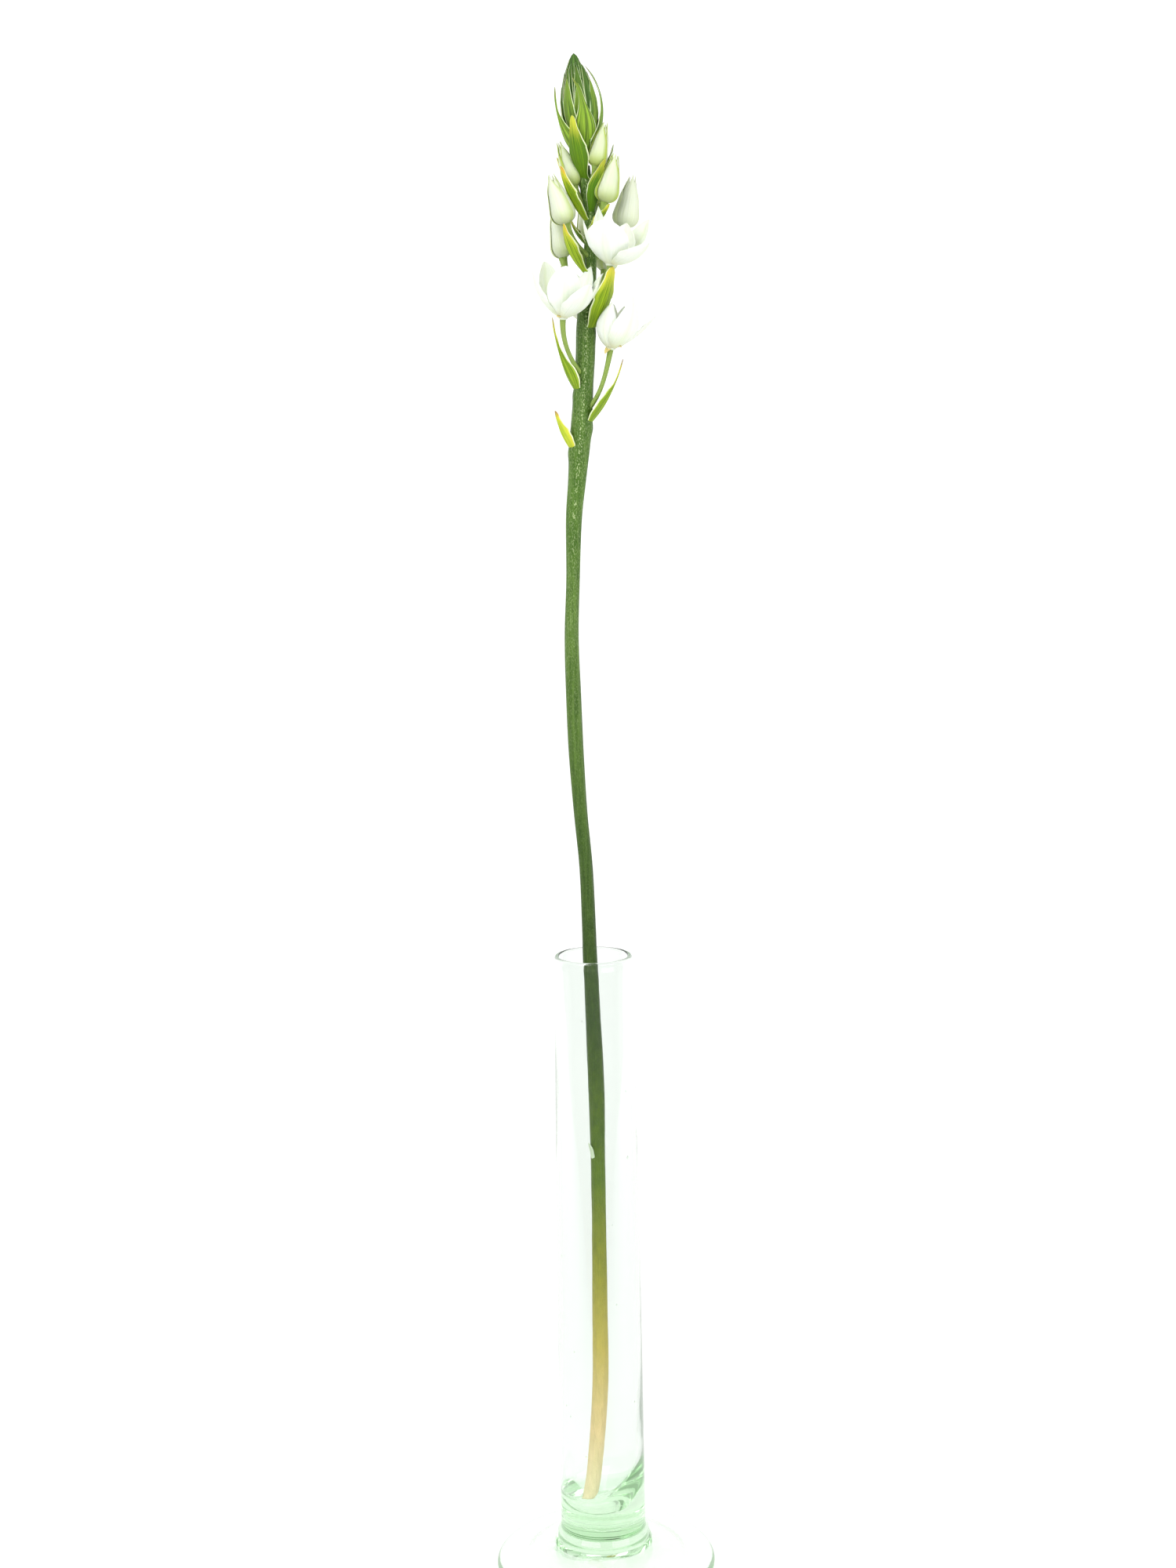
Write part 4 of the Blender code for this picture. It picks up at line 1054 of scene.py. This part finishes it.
def bract_material(groups, name, base, ripe, edge_colour):
    """Veined, with pale thin edges, yellower towards the tip and then orange by its tone mark.

    The three base colours are the body's when ripe, the body's when young, and the veins'. The two
    ripe ones are the yellow part's and the tip's. From a tone of 1 to 1.5 the veins fade and the
    yellow reaches the root. The dry mark browns the tip.
    """
    material, tree, shader = new_material(
        name, Subsurface_Weight=0.12, Subsurface_Scale=0.001, Specular_IOR_Level=0.3
    )
    veins = use_group(tree, groups["veins"], Count=16.0, Drift=1.2)
    tone = mark(tree, "tone")
    young = mix_colour(tree, between(tree, tone, 0.25, 0.95), base[1], base[0])
    faded = between(tree, tone, 1.0, 1.5)
    dark = times(tree, veins["Vein"], minus(tree, 0.7, times(tree, faded, 0.5)))
    green = mix_colour(tree, dark, young, base[2])
    reach = times(tree, math_node(tree, "POWER", veins["Edge"], 2.0), 0.2)
    reach = minus(tree, reach, times(tree, veins["Vein"], 0.15))
    along = math_node(tree, "MAXIMUM", veins["Along"], times(tree, faded, 0.74))
    reach = plus(tree, reach, along)
    yellow = times(tree, between(tree, reach, 0.5, 0.95), between(tree, tone, 0.0, 0.6))
    body = mix_colour(tree, yellow, green, ripe[0])
    orange = times(tree, between(tree, reach, 0.78, 1.02), between(tree, tone, 0.55, 0.95))
    body = mix_colour(tree, orange, body, ripe[1])
    rim = times(tree, between(tree, veins["Edge"], 0.85, 0.95), 0.95)
    body = mix_colour(tree, rim, body, edge_colour)
    brown = times(tree, between(tree, veins["Along"], 0.8, 1.0), mark(tree, "dry"))
    body = mix_colour(tree, brown, body, colour(0.28, 0.17, 0.09))
    dress(tree, shader, body, veins["Vein"], (0.42, 0.6), veins["Vein"], 0.00015, 0.7)
    return material


def tepal_material(groups, name, white, shade, base, green_line):
    """White, with faint lengthwise veins, greener at its foot by the tone mark, and scorched by dry.

    The green line runs from none to full between two distances from the middle, 1 at the edge, and
    its strength by a greener tone is the third number.
    """
    material, tree, shader = new_material(
        name, Subsurface_Weight=0.35, Subsurface_Scale=0.0008, Subsurface_Radius=(1.0, 0.9, 0.7),
        Sheen_Weight=0.08,
    )
    veins = use_group(tree, groups["veins"], Count=22.0, Drift=0.8)
    tone = mark(tree, "tone")
    tinted = mix_colour(tree, times(tree, tone, 0.42), white, base)
    body = mix_colour(tree, times(tree, veins["Vein"], 0.35), tinted, shade)
    foot = between(tree, veins["Along"], 0.45, 0.0)
    foot = times(tree, foot, plus(tree, times(tree, tone, 0.8), 0.15))
    body = mix_colour(tree, foot, body, base)
    dry = mark(tree, "dry")
    scorch = times(tree, between(tree, veins["Along"], 0.2, 0.02), dry)
    scorch = math_node(tree, "MAXIMUM", scorch, minus(tree, dry, 1.0))
    body = mix_colour(tree, scorch, body, colour(0.7, 0.52, 0.08))
    line = between(tree, veins["Edge"], *green_line[:2])
    line = times(tree, line, between(tree, tone, 0.0, 0.7, 0.15, green_line[2]))
    body = mix_colour(tree, line, body, base)
    dress(tree, shader, body, veins["Vein"], (0.45, 0.6), veins["Vein"], 0.00012, 0.5)
    return material


def centre_materials(groups):
    """The ovary's green skin, the white filaments and the powdery yellow anthers."""
    made = {}
    for part, low, high, rough in (
        ("ovary", (0.35, 0.5, 0.1), (0.16, 0.32, 0.05), 0.35),
        ("filaments", (0.85, 0.88, 0.78), (0.7, 0.76, 0.55), 0.5),
        ("anthers", (0.75, 0.52, 0.08), (0.45, 0.26, 0.03), 0.85),
    ):
        material, tree, shader = new_material(part)
        mottle = use_group(tree, groups["mottle"], Size=900.0, Stretch=0.6)
        body = mix_colour(tree, mottle["Patch"], colour(*low), colour(*high))
        grain = mottle["Grain"]
        dress(tree, shader, body, grain, (rough, rough + 0.12), grain, 0.0001, 0.5)
        made[part] = material
    return made


def glass_material(groups):
    """Clear glass, green where it is thick, with the slow waves of blown glass.

    Shadow rays pass straight through it with a faint tint, so that it lights what stands in it. So
    do rays that the thick glass has already bent too often, which would otherwise end black.
    """
    material, tree, shader = new_material(
        "clear glass", Transmission_Weight=1.0, IOR=1.5, Base_Color=colour(0.968, 0.99, 0.975)
    )
    waves = use_group(tree, groups["mottle"], Size=28.0, Stretch=0.5)
    tree.links.new(between(tree, waves["Grain"], 0.0, 1.0, 0.0, 0.02), shader["Roughness"])
    add_bump(tree, shader, waves["Patch"], 0.0003, 0.25)
    clear = add(tree, "BsdfTransparent", {"Color": colour(0.93, 0.97, 0.93)})
    path = add(tree, "LightPath").outputs
    trapped = math_node(tree, "GREATER_THAN", path["Ray Depth"], LONGEST_PATH)
    straight = math_node(tree, "MAXIMUM", path["Is Shadow Ray"], trapped)
    output = tree.nodes["Material Output"].inputs
    surface = tree.nodes["Principled BSDF"].outputs[0]
    mixed = add(tree, "MixShader", {0: straight, 1: surface, 2: clear.outputs[0]})
    tree.links.new(mixed.outputs[0], output["Surface"])
    depth = add(tree, "VolumeAbsorption", {"Color": colour(0.34, 0.73, 0.28), "Density": GLASS_DENSITY})
    tree.links.new(depth.outputs[0], output["Volume"])
    return material


# Studio


def make_backdrop():
    """A pale sheet that lies under the vase and curves up into a wall: a profile carried along X.

    What the glass mirrors of its front part is painted dark and dimmer, a painted darker reflection
    that gives the glass darker lines.
    """
    angle = np.linspace(0, np.pi / 2, 24)
    y = SHEET_FLAT + SHEET_CURVE * np.sin(angle)
    y = np.concatenate([[-SHEET_FLAT], y, y[-1:]])
    z = np.concatenate([[0.0], SHEET_CURVE * (1 - np.cos(angle)), [WALL_TOP]]) - FLOOR_DROP
    x = np.array([-SHEET_HALF_WIDTH, SHEET_HALF_WIDTH])
    points = np.stack([x[None, :] + 0 * y[:, None], y[:, None] + 0 * x, z[:, None] + 0 * x], 2)
    row = np.arange(len(y) - 1)
    faces = np.stack([2 * row, 2 * row + 1, 2 * row + 3, 2 * row + 2], 1)
    mesh = bpy.data.meshes.new("backdrop")
    mesh.from_pydata(points.reshape(-1, 3).tolist(), [], faces.tolist())
    mesh.shade_smooth()
    material, tree, shader = new_material("pale paper", Roughness=0.9)
    grain = add(tree, "TexNoise", {"Scale": 220.0, "Detail": 3.0})
    shade = mix_colour(tree, grain.outputs[0], colour(0.36, 0.36, 0.36), colour(0.4, 0.4, 0.4))
    shader["Emission Strength"].default_value = 1.0
    place = add(tree, "TexCoord").outputs["Object"]
    part = add(tree, "SeparateXYZ", {0: place}).outputs
    # Painted darker reflection: seen in the glass, the sheet's front part has a dark colour and a
    # dimmer glow.
    direct = math_node(tree, "LESS_THAN", add(tree, "LightPath").outputs["Glossy Depth"], 0.5)
    front = math_node(tree, "MAXIMUM", between(tree, part[1], -0.4, -0.04), direct)
    tree.links.new(mix_colour(tree, front, colour(0.06, 0.06, 0.06), shade), shader["Base Color"])
    reach = add(tree, "VectorMath", {0: place}, operation="LENGTH").outputs["Value"]
    glow = between(tree, part[2], 0.0, 0.9, 0.0, 0.08)
    # Painted pool of light: a disc of the sheet under the vase's foot glows more and lights the glass
    # from below.
    glow = plus(tree, glow, between(tree, reach, 0.06, 0.045, 0.0, 0.1))
    glow = plus(tree, glow, between(tree, part[1], 0.2, 0.8, 0.57, 0.69))
    glow = times(tree, glow, add(tree, "MapRange", {0: front, 3: DIM_SHEET}).outputs[0])
    grey = add(tree, "CombineColor", {0: glow, 1: glow, 2: glow}).outputs[0]
    tree.links.new(grey, shader["Emission Color"])
    mesh.materials.append(material)
    backdrop = add_object("backdrop", mesh)


def add_lamp(name, place, target, size, power):
    """A square soft light at place, whose -Z axis points to target and whose Y axis is upright."""
    lamp = bpy.data.lights.new(name, "AREA")
    lamp.shape = "SQUARE"
    lamp.size = size
    lamp.energy = power
    turn = (Vector(target) - Vector(place)).to_track_quat("-Z", "Y").to_matrix().to_4x4()
    add_object(name, lamp).matrix_world = Matrix.Translation(place) @ turn


def make_camera():
    """In front of the vase, above its middle, tilted down and rolled as in the photograph."""
    pitch, roll = math.radians(CAMERA_PITCH), math.radians(CAMERA_ROLL)
    right = Vector((1, 0, 0))
    ahead = Vector((0, math.cos(pitch), -math.sin(pitch)))
    up = right.cross(ahead)
    across = right * math.cos(roll) - up * math.sin(roll)
    upward = right * math.sin(roll) + up * math.cos(roll)
    lens = bpy.data.cameras.new("camera")
    lens.sensor_width = 36.0
    lens.lens = FOCAL_LENGTH
    camera = add_object("camera", lens)
    turn = Matrix((across, upward, -ahead)).transposed().to_4x4()
    camera.matrix_world = Matrix.Translation(CAMERA_PLACE) @ turn
    bpy.context.scene.camera = camera


def make_studio():
    """The sheet, the camera and the lamps, and pale surroundings, darker in front and low down."""
    make_backdrop()
    make_camera()
    world = bpy.data.worlds.new("studio")
    bpy.context.scene.world = world
    world.use_nodes = True
    tree = world.node_tree
    way = add(tree, "SeparateXYZ", {0: add(tree, "TexCoord").outputs["Generated"]}).outputs
    low = between(tree, way[1], -0.75, 0.3, 0.3, 0.75)
    sky = add(tree, "Mix", {0: between(tree, way[2], -0.04, 0.12), 2: low, 3: 0.76}, data_type="FLOAT")
    tree.links.new(sky.outputs[0], tree.nodes["Background"].inputs["Strength"])
    tree.nodes["Background"].inputs["Color"].default_value = colour(1.0, 1.0, 1.0)
    for name, values in LAMPS.items():
        add_lamp(name, *values)
    bpy.context.scene.view_settings.view_transform = "Standard"
    bpy.context.scene.cycles.use_denoising = True


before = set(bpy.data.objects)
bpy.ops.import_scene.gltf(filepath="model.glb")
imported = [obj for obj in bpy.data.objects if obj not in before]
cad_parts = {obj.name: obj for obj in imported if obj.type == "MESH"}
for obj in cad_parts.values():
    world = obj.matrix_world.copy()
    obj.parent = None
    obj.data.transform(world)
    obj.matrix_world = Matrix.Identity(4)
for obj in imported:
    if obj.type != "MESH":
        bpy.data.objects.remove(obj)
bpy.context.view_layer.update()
make_studio()
groups = {"veins": veins_group(), "mottle": mottle_group()}
stem = stem_material(groups)
bract = bract_material(
    groups, "bract",
    (colour(0.42, 0.58, 0.016), colour(0.085, 0.22, 0.003), colour(0.055, 0.15, 0.002)),
    (colour(0.74, 0.74, 0.06), colour(0.9, 0.52, 0.03)), colour(0.86, 0.92, 0.58),
)
crown = bract_material(
    groups, "crown scale",
    (colour(0.42, 0.66, 0.05), colour(0.075, 0.18, 0.014), colour(0.01, 0.04, 0.004)),
    (colour(0.2, 0.34, 0.03), colour(0.42, 0.46, 0.06)), colour(0.76, 0.87, 0.5),
)
petal = tepal_material(
    groups, "tepal", colour(0.9, 0.935, 0.88), colour(0.76, 0.84, 0.74), colour(0.62, 0.74, 0.34),
    (0.3, 0.0, 0.25),
)
bud = tepal_material(
    groups, "bud", colour(0.78, 0.82, 0.69), colour(0.64, 0.71, 0.46), colour(0.38, 0.5, 0.05),
    (0.5, 0.92, 1.0),
)
make_vase(glass_material(groups))
make_stem(stem)
make_pedicels(stem)
make_bracts(bract)
make_crown(crown)
for name, values in BUDS.items():
    make_bud(name, values, bud)
centre = centre_materials(groups)
for name, values in FLOWERS.items():
    make_flower(name, values, petal, centre)
